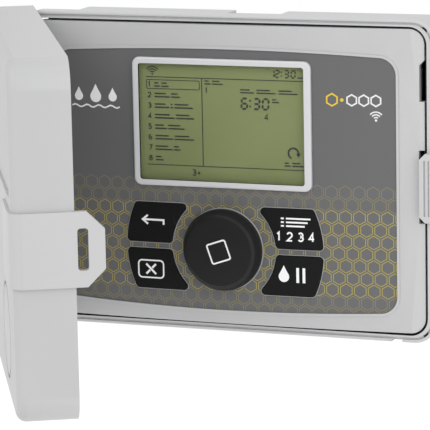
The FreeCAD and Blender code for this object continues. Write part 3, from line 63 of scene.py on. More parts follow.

# the inner wall of the display frame, painted black as shade: half sizes, height of its middle, and front
# edge, in metres
GLASS_X, GLASS_Z, GLASS_MIDDLE, GLASS_FRONT = 0.04608, 0.03118, 0.0276, 0.0688

# camera: angles in degrees, places in metres, lens and sensor in mm
AZIMUTH, RISE, ROLL = 20.311, 10.829, -1.1264
TARGET = (-0.004589, -0.068, -0.02133)
DISTANCE = 1.5127
SENSOR = 36.0
LENS = 239.60260465

FLOOR_Z = -0.32


# ---------------------------------------------------------------- materials

def srgb(*rgb):
    """Linear colour from 0-255 values."""
    out = []
    for v in rgb:
        v = v / 255.0
        out.append(v / 12.92 if v <= 0.04045 else ((v + 0.055) / 1.055) ** 2.4)
    return (*out, 1.0)


class Nodes:
    """Short way to add shader nodes to one material."""

    def __init__(self, name):
        self.mat = bpy.data.materials.new(name)
        self.mat.use_nodes = True
        self.tree = self.mat.node_tree
        self.bsdf = self.tree.nodes["Principled BSDF"]
        self.coord = self.tree.nodes.new("ShaderNodeTexCoord")

    def add(self, kind, **settings):
        node = self.tree.nodes.new("ShaderNode" + kind)
        for key, val in settings.items():
            setattr(node, key, val)
        return node

    def link(self, source, target):
        self.tree.links.new(source, target)

    def put(self, value, socket):
        if isinstance(value, (int, float, tuple)):
            socket.default_value = value
        else:
            self.link(value, socket)

    def math(self, op, a, b=0.0, c=None):
        node = self.add("Math", operation=op)
        self.put(a, node.inputs[0])
        self.put(b, node.inputs[1])
        if c is not None:
            self.put(c, node.inputs[2])
        return node.outputs[0]

    def mix(self, factor, a, b):
        node = self.add("Mix", data_type="RGBA")
        self.put(factor, node.inputs["Factor"])
        self.put(a, node.inputs["A"] if not isinstance(a, tuple) else node.inputs[6])
        self.put(b, node.inputs["B"] if not isinstance(b, tuple) else node.inputs[7])
        return node.outputs[2]

    def noise(self, scale, detail=3.0, roughness=0.5, stretch=None):
        node = self.add("TexNoise")
        node.inputs["Scale"].default_value = scale
        node.inputs["Detail"].default_value = detail
        node.inputs["Roughness"].default_value = roughness
        source = self.coord.outputs["Object"]
        if stretch:
            mapping = self.add("Mapping")
            mapping.inputs["Scale"].default_value = stretch
            self.link(source, mapping.inputs["Vector"])
            source = mapping.outputs["Vector"]
        self.link(source, node.inputs["Vector"])
        return node.outputs["Fac"]

    def span(self, value, low, high, to_low=0.0, to_high=1.0, smooth=False):
        node = self.add("MapRange")
        node.interpolation_type = "SMOOTHSTEP" if smooth else "LINEAR"
        node.clamp = True
        self.put(value, node.inputs["Value"])
        for key, val in (("From Min", low), ("From Max", high), ("To Min", to_low), ("To Max", to_high)):
            self.put(val, node.inputs[key])
        return node.outputs["Result"]

    def bump(self, height, strength, distance=0.0002):
        node = self.add("Bump")
        node.inputs["Strength"].default_value = strength
        node.inputs["Distance"].default_value = distance
        self.link(height, node.inputs["Height"])
        self.link(node.outputs["Normal"], self.bsdf.inputs["Normal"])

    def set(self, **values):
        for key, val in values.items():
            self.bsdf.inputs[key.replace("_", " ")].default_value = val


def moulded(name, rgb, rough=0.45, grain=0.25, grain_scale=2600.0, tone=0.04, wear_and_highlight=0.06,
            specular=0.45):
    """Moulded plastic: slow tone changes, fine sand grain, edges a little polished by handling and lightened
    by a painted highlight.
    """
    n = Nodes(name)
    slow = n.noise(14.0, 2.0)
    fine = n.noise(grain_scale, 2.0, 0.6)
    light = tuple(min(1.0, c * (1 + tone)) for c in rgb[:3]) + (1.0,)
    dark = tuple(c * (1 - tone) for c in rgb[:3]) + (1.0,)
    base = n.mix(n.span(slow, 0.3, 0.7), dark, light)
    # edges: a lighter colour as painted highlight and wear, and a lower roughness from polish
    geometry = n.add("NewGeometry")
    edge = n.span(geometry.outputs["Pointiness"], 0.52, 0.6)
    bright = tuple(min(1.0, c * (1 + wear_and_highlight * 2) + wear_and_highlight * 0.06) for c in rgb[:3]) + (1.0,)
    n.link(n.mix(n.math("MULTIPLY", edge, 0.6), base, bright), n.bsdf.inputs["Base Color"])
    polish = n.math("MULTIPLY", edge, -0.06 if wear_and_highlight else 0.0)
    n.link(n.math("ADD", n.span(fine, 0.25, 0.75, rough - 0.05, rough + 0.07), polish),
           n.bsdf.inputs["Roughness"])
    n.bsdf.inputs["Specular IOR Level"].default_value = specular
    n.bump(fine, grain, 0.00012)
    return n.mat


def metal(name, rgb, rough=0.3, stretch=(1, 1, 1), scale=900.0):
    """Plain or plated metal with drawing lines along one way."""
    n = Nodes(name)
    lines = n.noise(scale, 3.0, 0.6, stretch=stretch)
    blotch = n.noise(60.0, 2.0)
    dark = tuple(c * 0.82 for c in rgb[:3]) + (1.0,)
    n.link(n.mix(n.span(blotch, 0.3, 0.7), dark, rgb), n.bsdf.inputs["Base Color"])
    n.link(n.span(lines, 0.3, 0.7, rough - 0.08, rough + 0.12), n.bsdf.inputs["Roughness"])
    n.set(Metallic=1.0)
    n.bump(lines, 0.2, 0.00005)
    return n.mat


def hex_label(name):
    """Printed film: plain grey, with rows of yellow double-line hexagons."""
    n = Nodes(name)
    place = n.add("SeparateXYZ")
    n.link(n.coord.outputs["Object"], place.inputs[0])
    # the place in hexagon widths, with the first row's first cell at a whole number
    px = n.math("DIVIDE", n.math("SUBTRACT", place.outputs["X"], HEX_X), HEX_PITCH)
    pz = n.math("DIVIDE", n.math("SUBTRACT", place.outputs["Z"], HEX_Z), HEX_PITCH)
    tall = math.sqrt(3)

    def cell(shift):
        gx = n.math("SUBTRACT", n.math("FLOORED_MODULO", n.math("ADD", px, 0.5 + shift), 1.0), 0.5)
        row_place = n.math("ADD", pz, tall / 2 + shift * tall)
        gz = n.math("SUBTRACT", n.math("FLOORED_MODULO", row_place, tall), tall / 2)
        return gx, gz, n.math("ADD", n.math("MULTIPLY", gx, gx), n.math("MULTIPLY", gz, gz))

    ax, az, a_len = cell(0.0)
    bx, bz, b_len = cell(0.5)
    first = n.math("LESS_THAN", a_len, b_len)

    def pick(a, b):
        rest = n.math("MULTIPLY", n.math("SUBTRACT", 1.0, first), b)
        return n.math("ADD", n.math("MULTIPLY", first, a), rest)

    gx = pick(ax, bx)
    gz = pick(az, bz)
    across = n.math("ABSOLUTE", gx)
    slant = n.math("ADD", n.math("MULTIPLY", across, 0.5),
                   n.math("MULTIPLY", n.math("ABSOLUTE", gz), tall / 2))
    reach = n.math("MAXIMUM", across, slant)
    centre_z = n.math("SUBTRACT", pz, gz)
    # one line of each pair belongs to each neighbour, with a hairline of grey between them
    off = n.math("ABSOLUTE", n.math("SUBTRACT", reach, 0.42))
    line = n.span(off, 0.008, 0.028, 1.0, 0.0, smooth=True)
    row = n.math("DIVIDE", centre_z, -tall / 2)
    inside = n.math("MULTIPLY", n.math("GREATER_THAN", row, -0.5), n.math("LESS_THAN", row, 10.5))
    bright = n.math("MULTIPLY", n.math("GREATER_THAN", row, 1.5), n.math("LESS_THAN", row, 8.5))
    strength = n.math("MULTIPLY", inside, n.math("ADD", 0.34, n.math("MULTIPLY", bright, 0.6)))
    grain = n.noise(900.0, 2.0)
    patch = n.noise(9.0, 2.0)
    # painted light: the grey is a touch lighter at the left to offset the shade the open door casts there
    grey = n.mix(n.span(place.outputs["X"], -0.095, 0.095), srgb(101, 101, 102), srgb(99, 99, 100))
    grey = n.mix(n.span(patch, 0.3, 0.7, 0.0, 0.10), grey, srgb(92, 92, 93))
    colour = n.mix(n.math("MULTIPLY", line, strength), grey, srgb(192, 176, 46))
    n.link(colour, n.bsdf.inputs["Base Color"])
    n.link(n.span(grain, 0.3, 0.7, 0.42, 0.52), n.bsdf.inputs["Roughness"])
    n.bsdf.inputs["Specular IOR Level"].default_value = 0.3
    n.bump(n.math("ADD", grain, n.math("MULTIPLY", line, 0.6)), 0.12, 0.00005)
    return n.mat


def display_glass(name):
    """Reflective liquid crystal: olive, a little uneven, with faint fine specks."""
    n = Nodes(name)
    place = n.add("SeparateXYZ")
    n.link(n.coord.outputs["Object"], place.inputs[0])
    cloud = n.noise(26.0, 3.0)
    speck = n.noise(1500.0, 2.0)
    base = n.mix(n.span(cloud, 0.3, 0.7), srgb(115, 124, 78), srgb(124, 133, 88))
    shade = n.mix(n.span(place.outputs["Z"], -0.004, 0.059), base, srgb(122, 131, 85))
    colour = n.mix(n.span(speck, 0.35, 0.65, 0.0, 0.06), shade, srgb(112, 121, 75))
    n.link(colour, n.bsdf.inputs["Base Color"])
    n.link(n.span(cloud, 0.3, 0.7, 0.30, 0.38), n.bsdf.inputs["Roughness"])
    n.bsdf.inputs["Specular IOR Level"].default_value = 0.25
    return n.mat


def clear(name, alpha):
    """Clear plastic or glass, let through by its alpha."""
    n = Nodes(name)
    haze = n.noise(40.0, 2.0)
    n.link(n.mix(haze, srgb(228, 236, 226), srgb(240, 244, 238)), n.bsdf.inputs["Base Color"])
    n.link(n.span(haze, 0.3, 0.7, 0.04, 0.09), n.bsdf.inputs["Roughness"])
    n.set(Alpha=alpha, Specular_IOR_Level=0.15)
    return n.mat


def ink(name, rgb, rough=0.5):
    """Screen-printed ink, a little uneven where it lies on the grain."""
    n = Nodes(name)
    fine = n.noise(3200.0, 2.0)
    dark = tuple(c * 0.9 for c in rgb[:3]) + (1.0,)
    n.link(n.mix(n.span(fine, 0.3, 0.7), dark, rgb), n.bsdf.inputs["Base Color"])
    n.link(n.span(fine, 0.3, 0.7, rough - 0.05, rough + 0.05), n.bsdf.inputs["Roughness"])
    n.bump(fine, 0.1, 0.00003)
    return n.mat


def circuit(name):
    """Green solder mask over faint copper tracks."""
    n = Nodes(name)
    tracks = n.add("TexBrick")
    mapping = n.add("Mapping")
    mapping.inputs["Rotation"].default_value = (math.radians(90), 0, 0)
    n.link(n.coord.outputs["Object"], mapping.inputs["Vector"])
    n.link(mapping.outputs["Vector"], tracks.inputs["Vector"])
    for key, val in (("Scale", 160.0), ("Mortar Size", 0.03), ("Mortar Smooth", 0.2)):
        tracks.inputs[key].default_value = val
    tracks.inputs["Color1"].default_value = srgb(12, 92, 46)
    tracks.inputs["Color2"].default_value = srgb(10, 82, 42)
    tracks.inputs["Mortar"].default_value = srgb(44, 128, 70)
    blotch = n.noise(80.0, 3.0)
    n.link(n.mix(n.span(blotch, 0.35, 0.65, 0.0, 0.35), tracks.outputs["Color"], srgb(9, 70, 36)),
           n.bsdf.inputs["Base Color"])
    n.link(n.span(blotch, 0.3, 0.7, 0.25, 0.38), n.bsdf.inputs["Roughness"])
    n.bump(tracks.outputs["Fac"], 0.15, 0.00004)
    return n.mat


def layered(name, rgb, axis, pitch, rough=0.45, metallic=0.0):
    """Stacked sheets or wound wire: fine lines across one axis."""
    n = Nodes(name)
    place = n.add("SeparateXYZ")
    n.link(n.coord.outputs["Object"], place.inputs[0])
    wave = n.math("SINE", n.math("MULTIPLY", place.outputs[axis], 2 * math.pi / pitch))
    blotch = n.noise(70.0, 3.0)
    height = n.math("ADD", n.math("MULTIPLY", wave, 0.5), n.math("MULTIPLY", blotch, 0.4))
    dark = tuple(c * 0.45 for c in rgb[:3]) + (1.0,)
    n.link(n.mix(n.span(height, -0.5, 0.6), dark, rgb), n.bsdf.inputs["Base Color"])
    n.link(n.span(blotch, 0.3, 0.7, rough - 0.06, rough + 0.1), n.bsdf.inputs["Roughness"])
    n.set(Metallic=metallic)
    n.bump(height, 0.5, 0.00015)
    return n.mat


CASE = srgb(187, 187, 188)
MATS = {
    "case": moulded("case plastic", CASE, 0.5, 0.22, tone=0.015, wear_and_highlight=0.0),
    "door": moulded("door plastic", srgb(175, 175, 176), 0.5, 0.24, tone=0.015),
    "panel": moulded("panel plastic", srgb(182, 182, 183), 0.5, 0.2, tone=0.015),
    "bezel": moulded("bezel plastic", srgb(200, 200, 202), 0.32, 0.1, tone=0.02, specular=0.6),
    "label": hex_label("label film"),
    "display": display_glass("display glass"),
    "window": clear("clear window", 0.012),
    "white": moulded("white plastic", srgb(224, 224, 218), 0.5, 0.2),
    "black": moulded("black plastic", srgb(20, 20, 21), 0.48, 0.35, tone=0.08, wear_and_highlight=0.25, specular=0.3),
    "rubber": moulded("black rubber", srgb(10, 10, 11), 0.6, 0.4, 1800.0, tone=0.1, wear_and_highlight=0.3, specular=0.2),
    "mat": moulded("keypad rubber", srgb(34, 34, 35), 0.6, 0.4),
    "seal": moulded("foam seal", srgb(44, 44, 46), 0.8, 0.9, 1400.0, tone=0.12),
    "board": circuit("circuit board"),
    "steel": metal("zinc plated steel", srgb(186, 188, 190), 0.3),
    "shield": metal("tinned shield", srgb(196, 198, 200), 0.34, (1, 1, 8)),
    "brass": metal("nickelled brass", srgb(206, 186, 132), 0.28),
    "core": layered("core plates", srgb(92, 90, 90), "Y", 0.0005, 0.45, 0.7),
    "winding": layered("winding tape", srgb(168, 96, 34), "Z", 0.0009, 0.4),
    "terminal": moulded("terminal green", srgb(46, 132, 74), 0.42, 0.25),
    "connector": moulded("connector black", srgb(30, 30, 32), 0.45, 0.3),
    "glass": clear("fuse glass", 0.35),
    "ribbon": layered("ribbon cable", srgb(150, 151, 154), "X", 0.001, 0.5),
    "ink_white": ink("white ink", srgb(246, 246, 245)),
    "ink_pale": ink("pale ink", srgb(226, 226, 225)),
    "ink_yellow": ink("yellow ink", srgb(226, 192, 40)),
    "segment": ink("display segment", srgb(18, 24, 19), 0.5),
    "chip": moulded("chip epoxy", srgb(26, 26, 28), 0.5, 0.5, tone=0.1),
    "cap_sleeve": moulded("capacitor sleeve", srgb(34, 44, 92), 0.35, 0.1, tone=0.06),
    "relay": moulded("relay cover", srgb(38, 84, 160), 0.35, 0.15, tone=0.05),
}
NODE_MATS = {
    "case_back": "case", "case_standoffs": "case", "case_top": "case", "case_bottom": "case",
    "case_hinge_side": "case", "case_lock_side": "case", "knockout_plugs": "case",
    "power_inlet_bushing": "connector", "door": "door",
    "door_seal": "seal", "door_hinge_pins": "steel", "panel_frame": "panel", "panel_hinge_pins": "steel",
    "overlay_label": "label", "lcd_bezel": "bezel", "lcd_window": "window", "lcd_display": "display",
    "backlight_holder": "white", "dial_knob": "black", "encoder_shaft": "connector", "dial_encoder": "shield",
    "back_button": "rubber", "clear_button": "rubber", "program_button": "rubber",
    "rain_delay_button": "rubber", "keypad_mat": "mat", "main_board": "board", "board_screws": "steel",
    "panel_rear_cover": "panel", "rear_cover_screws": "steel", "wireless_module": "shield",
    "cell_holder": "connector", "coin_cell": "steel", "panel_header": "connector",
    "terminal_board": "board", "terminal_board_screws": "steel", "terminal_strip": "terminal",
    "terminal_screws": "steel", "sensor_jumper": "brass", "board_header": "connector",
    "fuse_holder": "brass", "fuse": "glass", "transformer_core": "core", "transformer_bobbin": "white",
    "transformer_winding": "winding", "transformer_brackets": "steel", "transformer_screws": "steel",
    "mains_cover": "connector", "mains_cover_screw": "steel", "mains_terminal_block": "white",
    "mains_terminal_screws": "steel",
}
for node_name, key in NODE_MATS.items():
    mesh = NODES[node_name].data
    mesh.materials.clear()
    mesh.materials.append(MATS[key])


def paint(node_name, key, chosen):
    """Give a second material to the faces of a node whose middle is chosen."""
    mesh = NODES[node_name].data
    mesh.materials.append(MATS[key])
    for face in mesh.polygons:
        if chosen(face.center):
            face.material_index = 1


# faces of the seat inside the mouth, painted dark as shade
def seat_shade_faces(spot):
    return abs(spot.x) < MOUTH_X and abs(spot.z) < MOUTH_Z and -SEAT_FRONT < spot.y < -SEAT_BACK


def glass_wall_shade_faces(spot):
    return abs(spot.x) < GLASS_X and abs(spot.z - GLASS_MIDDLE) < GLASS_Z and spot.y > -GLASS_FRONT


# painted shade: the seat takes the dark foam colour so the gap round the panel reads as a dark line, and the
# display frame's inner wall is painted black as shade
for node_name in ("case_top", "case_bottom", "case_hinge_side", "case_lock_side"):
    paint(node_name, "seal", seat_shade_faces)
# painted shade: the display frame's inner wall takes the black connector colour
paint("lcd_bezel", "connector", glass_wall_shade_faces)


# ---------------------------------------------------------------- making pieces

def make_piece(bm, name, material, smooth=False):
    """Turn a bmesh into a named piece with one material."""
    bmesh.ops.recalc_face_normals(bm, faces=bm.faces)
    mesh = bpy.data.meshes.new(name)
    bm.to_mesh(mesh)
    bm.free()
    for face in mesh.polygons:
        face.use_smooth = smooth
    mesh.materials.append(MATS[material])
    piece = bpy.data.objects.new(name, mesh)
    bpy.context.collection.objects.link(piece)
    return piece


def finish_mesh(bm, name, material, body, smooth=False):
    piece = make_piece(bm, name, material, smooth)
    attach(piece, body)
    return piece


# ---------------------------------------------------------------- printed and raised marks

class Print:
    """Thin raised shapes on a face that looks to -Y. Sizes and places are in mm as (x, z)."""

    def __init__(self, level, crowned=True, thick=0.05, sunk=0.03):
        self.bm = bmesh.new()
        self.level = level
        self.crowned = crowned
        self.thick = thick
        self.sunk = sunk
        self.shift = Vector((0, 0))
        self.turn = 0.0

    def place(self, x, z, out):
        if self.turn:
            c, s = math.cos(self.turn), math.sin(self.turn)
            x, z = x * c - z * s, x * s + z * c
        x += self.shift.x
        z += self.shift.y
        depth = self.level - (x * x / CROWN if self.crowned else 0) + out
        return self.bm.verts.new((x * MM, -depth * MM, z * MM))

    def fill(self, points):
        """One solid flat shape from its outline."""
        front = [self.place(x, z, self.thick) for x, z in points]
        back = [self.place(x, z, -self.sunk) for x, z in points]
        count = len(points)
        self.bm.faces.new(front)
        self.bm.faces.new(back[::-1])
        for i in range(count):
            j = (i + 1) % count
            self.bm.faces.new((front[j], front[i], back[i], back[j]))

    def stroke(self, points, width, closed=False):
        """A line of even width with mitred corners."""
        pts = [Vector(p) for p in points]
        count = len(pts)
        rows = []
        for i, p in enumerate(pts):
            before = pts[i - 1] if (closed or i > 0) else None
            after = pts[(i + 1) % count] if (closed or i < count - 1) else None
            ways = []
            if before is not None:
                ways.append((p - before).normalized())
            if after is not None:
                ways.append((after - p).normalized())
            normals = [Vector((-w.y, w.x)) for w in ways]
            mitre = sum(normals, Vector((0, 0))).normalized()
            scale = 1 / max(0.4, mitre.dot(normals[0]))
            left = p + mitre * scale * width / 2
            right = p - mitre * scale * width / 2
            rows.append([self.place(left.x, left.y, self.thick), self.place(right.x, right.y, self.thick),
                         self.place(right.x, right.y, -self.sunk), self.place(left.x, left.y, -self.sunk)])
        pairs = count if closed else count - 1
        for i in range(pairs):
            a, b = rows[i], rows[(i + 1) % count]
            for k in range(4):
                m = (k + 1) % 4
                self.bm.faces.new((a[k], b[k], b[m], a[m]))
        if not closed:
            self.bm.faces.new(rows[0])
            self.bm.faces.new(rows[-1][::-1])

    def bar(self, x0, z0, x1, z1):
        self.fill([(x0, z0), (x1, z0), (x1, z1), (x0, z1)])

    def finish(self, name, material, body):
        return finish_mesh(self.bm, name, material, body)


def arc(cx, cz, r, start, end, steps=16):
    return [(cx + r * math.cos(math.radians(start + (end - start) * i / steps)),
             cz + r * math.sin(math.radians(start + (end - start) * i / steps))) for i in range(steps + 1)]


def ring(cx, cz, r, steps=28):
    return arc(cx, cz, r, 0, 360, steps)[:-1]


def round_box(x0, z0, x1, z1, r, steps=5):
    return (arc(x1 - r, z0 + r, r, -90, 0, steps) + arc(x1 - r, z1 - r, r, 0, 90, steps)
            + arc(x0 + r, z1 - r, r, 90, 180, steps) + arc(x0 + r, z0 + r, r, 180, 270, steps))


def drop(cx, cz, r, steps=20):
    """Outline of a water drop, point up, whose round part has radius r about (cx, cz)."""
    lean = 35
    point = [(cx + r * 0.42, cz + r * 1.25), (cx, cz + r * 2.1), (cx - r * 0.42, cz + r * 1.25)]
    return arc(cx, cz, r, 180 - lean, 360 + lean, steps) + point


SEGMENTS = {"0": "abcdef", "1": "bc", "2": "abged", "3": "abgcd", "6": "afgedc"}


def digit(art, char, x, z, wide, high, thick, lean=0.06):
    """A seven-segment figure with its low left corner at (x, z)."""
    t = thick / 2
    gap = thick * 0.2
    half = high / 2
    spots = {
        "a": ((t, high - t), (wide - t, high - t)), "g": ((t, half), (wide - t, half)),
        "d": ((t, t), (wide - t, t)), "f": ((t, half), (t, high - t)), "e": ((t, t), (t, half)),
        "b": ((wide - t, half), (wide - t, high - t)), "c": ((wide - t, t), (wide - t, half)),
    }
    for key in SEGMENTS[char]:
        (x0, z0), (x1, z1) = spots[key]
        way = Vector((x1 - x0, z1 - z0)).normalized()
        side = Vector((-way.y, way.x)) * t
        a = Vector((x0, z0)) + way * gap
        b = Vector((x1, z1)) - way * gap
        tip = way * t * 0.9
        outline = [a, a + side + tip, b + side - tip, b, b - side - tip, a - side + tip]
        art.fill([(x + p.x + p.y * lean, z + p.y) for p in outline])


def plain_digit(art, char, x, z, wide, high, thick):
    """A rounded printed figure made from lines, low left corner at (x, z)."""
    w, h = wide, high
    shapes = {
        "1": [[(w * 0.2, h * 0.78), (w * 0.55, h), (w * 0.55, 0)]],
        "2": [arc(w / 2, h - w / 2, w / 2, 165, -30, 8) + [(0, 0), (w, 0)]],
        "3": [arc(w / 2, h - w * 0.45, w * 0.45, 150, -80, 8) + arc(w / 2, w * 0.5, w * 0.5, 80, -150, 8)],
        "4": [[(w * 0.72, 0), (w * 0.72, h), (0, h * 0.3), (w, h * 0.3)]],
        "5": [[(w * 0.9, h), (w * 0.15, h), (w * 0.1, h * 0.55)]
              + arc(w * 0.45, w * 0.5, w * 0.5, 100, -150, 9)],
        "6": [arc(w * 0.9, h * 0.45, h * 0.6, 110, 170, 5), ring(w / 2, w * 0.5, w * 0.5, 14)],
        "7": [[(0, h), (w, h), (w * 0.35, 0)]],
        "8": [ring(w / 2, w * 0.5, w * 0.5, 14), ring(w / 2, h - w * 0.42, w * 0.4, 14)],
        "9": [ring(w / 2, h - w * 0.5, w * 0.5, 14), arc(w * 0.1, h * 0.55, h * 0.6, -70, -5, 5)],
        "0": [round_box(0, 0, w, h, w * 0.48)],
    }
    for line in shapes[char]:
        closed = char == "0" or (char in "689" and len(line) == 14)
        art.stroke([(x + p[0], z + p[1]) for p in line], thick, closed)


# ---- display: symbols, clock figures and bars for a menu

def make_display_art():
    art = Print(DISPLAY, crowned=False, thick=0.03, sunk=0.0)
    for r in (1.5, 2.8, 4.1):
        art.stroke(arc(-39.2, 52.5, r, 38, 142, 10), 0.65)
    art.fill(ring(-39.2, 52.6, 0.5, 12))
    for x0, z0, x1, z1 in ((-42.8, 50.8, 46.0, 51.3), (-43.0, 3.85, 45.4, 4.35), (-11.7, 4.1, -11.15, 51.1)):
        art.bar(x0, z0, x1, z1)
    art.stroke(round_box(-42.5, 44.8, -12.8, 49.5, 0.6, 3), 0.45, closed=True)
    ends = (-29.7, -23.4, -16.2, -15.7, -21.2, -15.9, -23.8, -33.5)
    breaks = ((0.45,), (0.62,), (0.4, 0.5), (0.52,), (0.42,), (0.48,), (0.7,), ())
    for index, end in enumerate(ends):
        z = 45.85 - 5.64 * index
        plain_digit(art, str(index + 1), -41.8, z, 1.5, 2.5, 0.62)
        start = -38.6
        stops = [start] + [start + (end - start) * b for b in breaks[index]] + [end]
        for left, right in zip(stops[:-1], stops[1:]):
            x0, x1 = left + 0.4, right - 0.4
            if x1 - x0 > 0.8:
                art.bar(x0, z - 0.1, x1, z + 0.7)
                art.bar(x0, z + 1.6, x1 - (x1 - x0) * 0.25, z + 2.4)
    for char, x in (("1", 26.2), ("2", 29.0), ("3", 34.2), ("0", 37.8)):
        digit(art, char, x, 52.4, 2.9, 4.5, 0.8)
    for z in (53.6, 55.6):
        art.fill(ring(32.9, z, 0.42, 10))
    art.bar(41.7, 52.5, 44.6, 53.2)
    for char, x in (("6", 9.9), ("3", 16.6), ("0", 21.6)):
        digit(art, char, x, 35.1, 4.3, 6.6, 1.15)
    for z in (37.0, 40.0):
        art.fill(ring(15.4, z, 0.55, 10))
    art.bar(27.6, 39.2, 31.4, 39.95)
    art.bar(27.6, 40.6, 29.8, 41.35)
    for x0, x1 in ((-9.8, -6.4), (-5.6, 0.4), (10.0, 17.6), (19.0, 29.6), (31.2, 41.6)):
        z = 47.9 if x1 < 5 else 43.9
        art.bar(x0, z - 0.1, x1, z + 0.65)
        art.bar(x0, z + 1.4, x1 - (x1 - x0) * 0.3, z + 2.15)
    plain_digit(art, "1", -9.6, 43.4, 1.4, 2.5, 0.6)
    plain_digit(art, "4", 23.4, 30.1, 1.8, 3.0, 0.6)
    art.stroke(arc(38.9, 13.0, 2.75, 248, -22, 22), 1.0)
    art.fill([(40.3, 12.9), (43.2, 13.2), (41.6, 10.9)])
    for x0, x1 in ((34.0, 37.4), (38.2, 44.4)):
        art.bar(x0, 5.8, x1, 6.6)
        art.bar(x0, 7.3, x1 - (x1 - x0) * 0.3, 8.1)
    plain_digit(art, "3", -17.6, -0.9, 1.9, 3.1, 0.62)
    art.fill(ring(-13.9, 0.4, 0.7, 12))
    art.finish("display_symbols", "segment", "panel")


# ---- label marks: plain symbols where the real label has printed names

def make_label_art():
    art = Print(LABEL)
    for x, r in ((-81.6, 2.4), (-71.7, 3.2), (-61.8, 2.4)):
        art.fill(drop(x, 39.6, r))
    art.stroke([(-85.6 + 1.39 * k, 34.4 + 0.7 * math.sin(k * math.pi / 2.5)) for k in range(21)], 0.8)
    art.finish("label_drops", "ink_white", "panel")
    art = Print(LABEL)
    art.stroke([(60.6 + 3.2 * math.sin(math.radians(60 * k)), 42.2 + 3.2 * math.cos(math.radians(60 * k)))
                for k in range(6)], 0.8, closed=True)
    art.fill(ring(65.9, 42.2, 0.95, 16))
    art.finish("label_cell", "ink_yellow", "panel")
    art = Print(LABEL)
    for k in range(3):
        art.stroke([(71.2 + k * 6.4 + 2.9 * math.sin(math.radians(60 * i)),
                     42.2 + 2.9 * math.cos(math.radians(60 * i))) for i in range(6)], 0.8, closed=True)
    for r in (1.4, 2.8, 4.2):
        art.stroke(arc(84.0, 32.2, r, 42, 138, 8), 0.7)
    art.fill(ring(84.0, 32.0, 0.65, 12))
    art.finish("label_signal", "ink_pale", "panel")


# ---- button and dial marks

def make_button_art():
    art = Print(BUTTON)
    art.stroke([(-33.6, -27.9), (-33.6, -25.4), (-45.0, -25.4)], 1.05)
    art.stroke([(-42.6, -23.0), (-45.6, -25.4), (-42.6, -27.8)], 1.05)
    art.finish("back_mark", "ink_white", "back_button_body")
    art = Print(BUTTON)
    art.stroke([(-44.2, -49.6), (-38.6, -55.0)], 1.15)
    art.stroke([(-44.2, -55.0), (-42.0, -52.9)], 1.15)
    art.stroke([(-40.8, -51.7), (-38.6, -49.6)], 1.15)
    art.stroke(round_box(-48.6, -57.0, -34.2, -47.6, 2.0), 0.8, closed=True)
    art.finish("clear_mark", "ink_white", "clear_button_body")
    art = Print(BUTTON)
    for row, z in enumerate((-21.2, -23.2, -25.2)):
        art.bar(32.4, z - 0.45, 34.0, z + 0.45)
        art.bar(35.2, z - 0.45, 48.6 - 1.6 * row, z + 0.45)
    for k, char in enumerate("1234"):
        plain_digit(art, char, 29.8 + k * 6.0, -33.0, 2.6, 4.3, 0.85)
    art.finish("program_mark", "ink_white", "program_button_body")
    art = Print(BUTTON)
    art.fill(drop(33.6, -52.4, 2.9))
    for x in (41.2, 44.6):
        art.bar(x - 0.75, -55.4, x + 0.75, -47.4)
    art.finish("rain_delay_mark", "ink_white", "rain_delay_button_body")
    art = Print(DIAL_FACE, crowned=False)
    art.shift = Vector((0, DIAL_Z))
    art.turn = math.radians(19)
    art.stroke(round_box(-5.3, -5.3, 5.3, 5.3, 1.0, 4), 0.85, closed=True)
    art.finish("dial_mark", "ink_white", "dial")


# ---- small parts in the wiring bay

def bevelled_box(bm, x0, x1, d0, d1, z0, z1, edge=0.4):
    """A box with small bevels, between two places along X, two depths and two heights, in mm."""
    made = bmesh.ops.create_cube(bm, size=1.0)
    verts = made["verts"]
    for v in verts:
        v.co = Vector(((x0 + (v.co.x + 0.5) * (x1 - x0)) * MM, -(d0 + (0.5 - v.co.y) * (d1 - d0)) * MM,
                       (z0 + (v.co.z + 0.5) * (z1 - z0)) * MM))
    edges = list({e for v in verts for e in v.link_edges})
    bmesh.ops.bevel(bm, geom=edges, offset=edge * MM, segments=2, affect="EDGES")


def turned(bm, cx, cz, rings, steps=24):
    """A round piece that points at the front. rings are (radius, depth) from the back."""
    loops = []
    for r, depth in rings:
        loops.append([bm.verts.new(((cx + r * math.cos(a)) * MM, -depth * MM, (cz + r * math.sin(a)) * MM))
                      for a in (2 * math.pi * k / steps for k in range(steps))])
    for a, b in zip(loops[:-1], loops[1:]):
        for k in range(steps):
            m = (k + 1) % steps
            bm.faces.new((a[k], a[m], b[m], b[k]))
    bm.faces.new(loops[0])
    bm.faces.new(loops[-1][::-1])


def make_board_parts():
    top = BOARD_FACE
    bm = bmesh.new()
    for x in (40.0, 52.0):
        bevelled_box(bm, x, x + 9, top, top + 2.4, -40.4, -34.0, 0.2)
    finish_mesh(bm, "board_chips", "chip", "case")
    bm = bmesh.new()
    for x in (66.0, 76.0):
        turned(bm, x, -35.4, ((3.6, top), (3.9, top + 0.4), (3.6, top + 0.9), (3.9, top + 1.3),
                              (3.9, top + 9.4), (3.4, top + 10.0), (2.6, top + 9.8)))
    finish_mesh(bm, "board_capacitors", "cap_sleeve", "case", smooth=True)
    bm = bmesh.new()
    for x in (-34.0, -20.0, -6.0):
        bevelled_box(bm, x, x + 10.6, top, top + 11.0, -41.0, -27.0, 0.5)
    finish_mesh(bm, "board_relays", "relay", "case")
    art = Print(top, crowned=False, thick=0.04, sunk=0.0)
    for k in range(12):
        text = str(k + 1)
        for j, char in enumerate(text):
            x = -56.1 + k * 10 - 0.9 * (len(text) - 1) + j * 1.8 + 0.4
            plain_digit(art, char, x, -42.6, 1.1, 1.9, 0.3)
    art.finish("terminal_figures", "ink_white", "case")


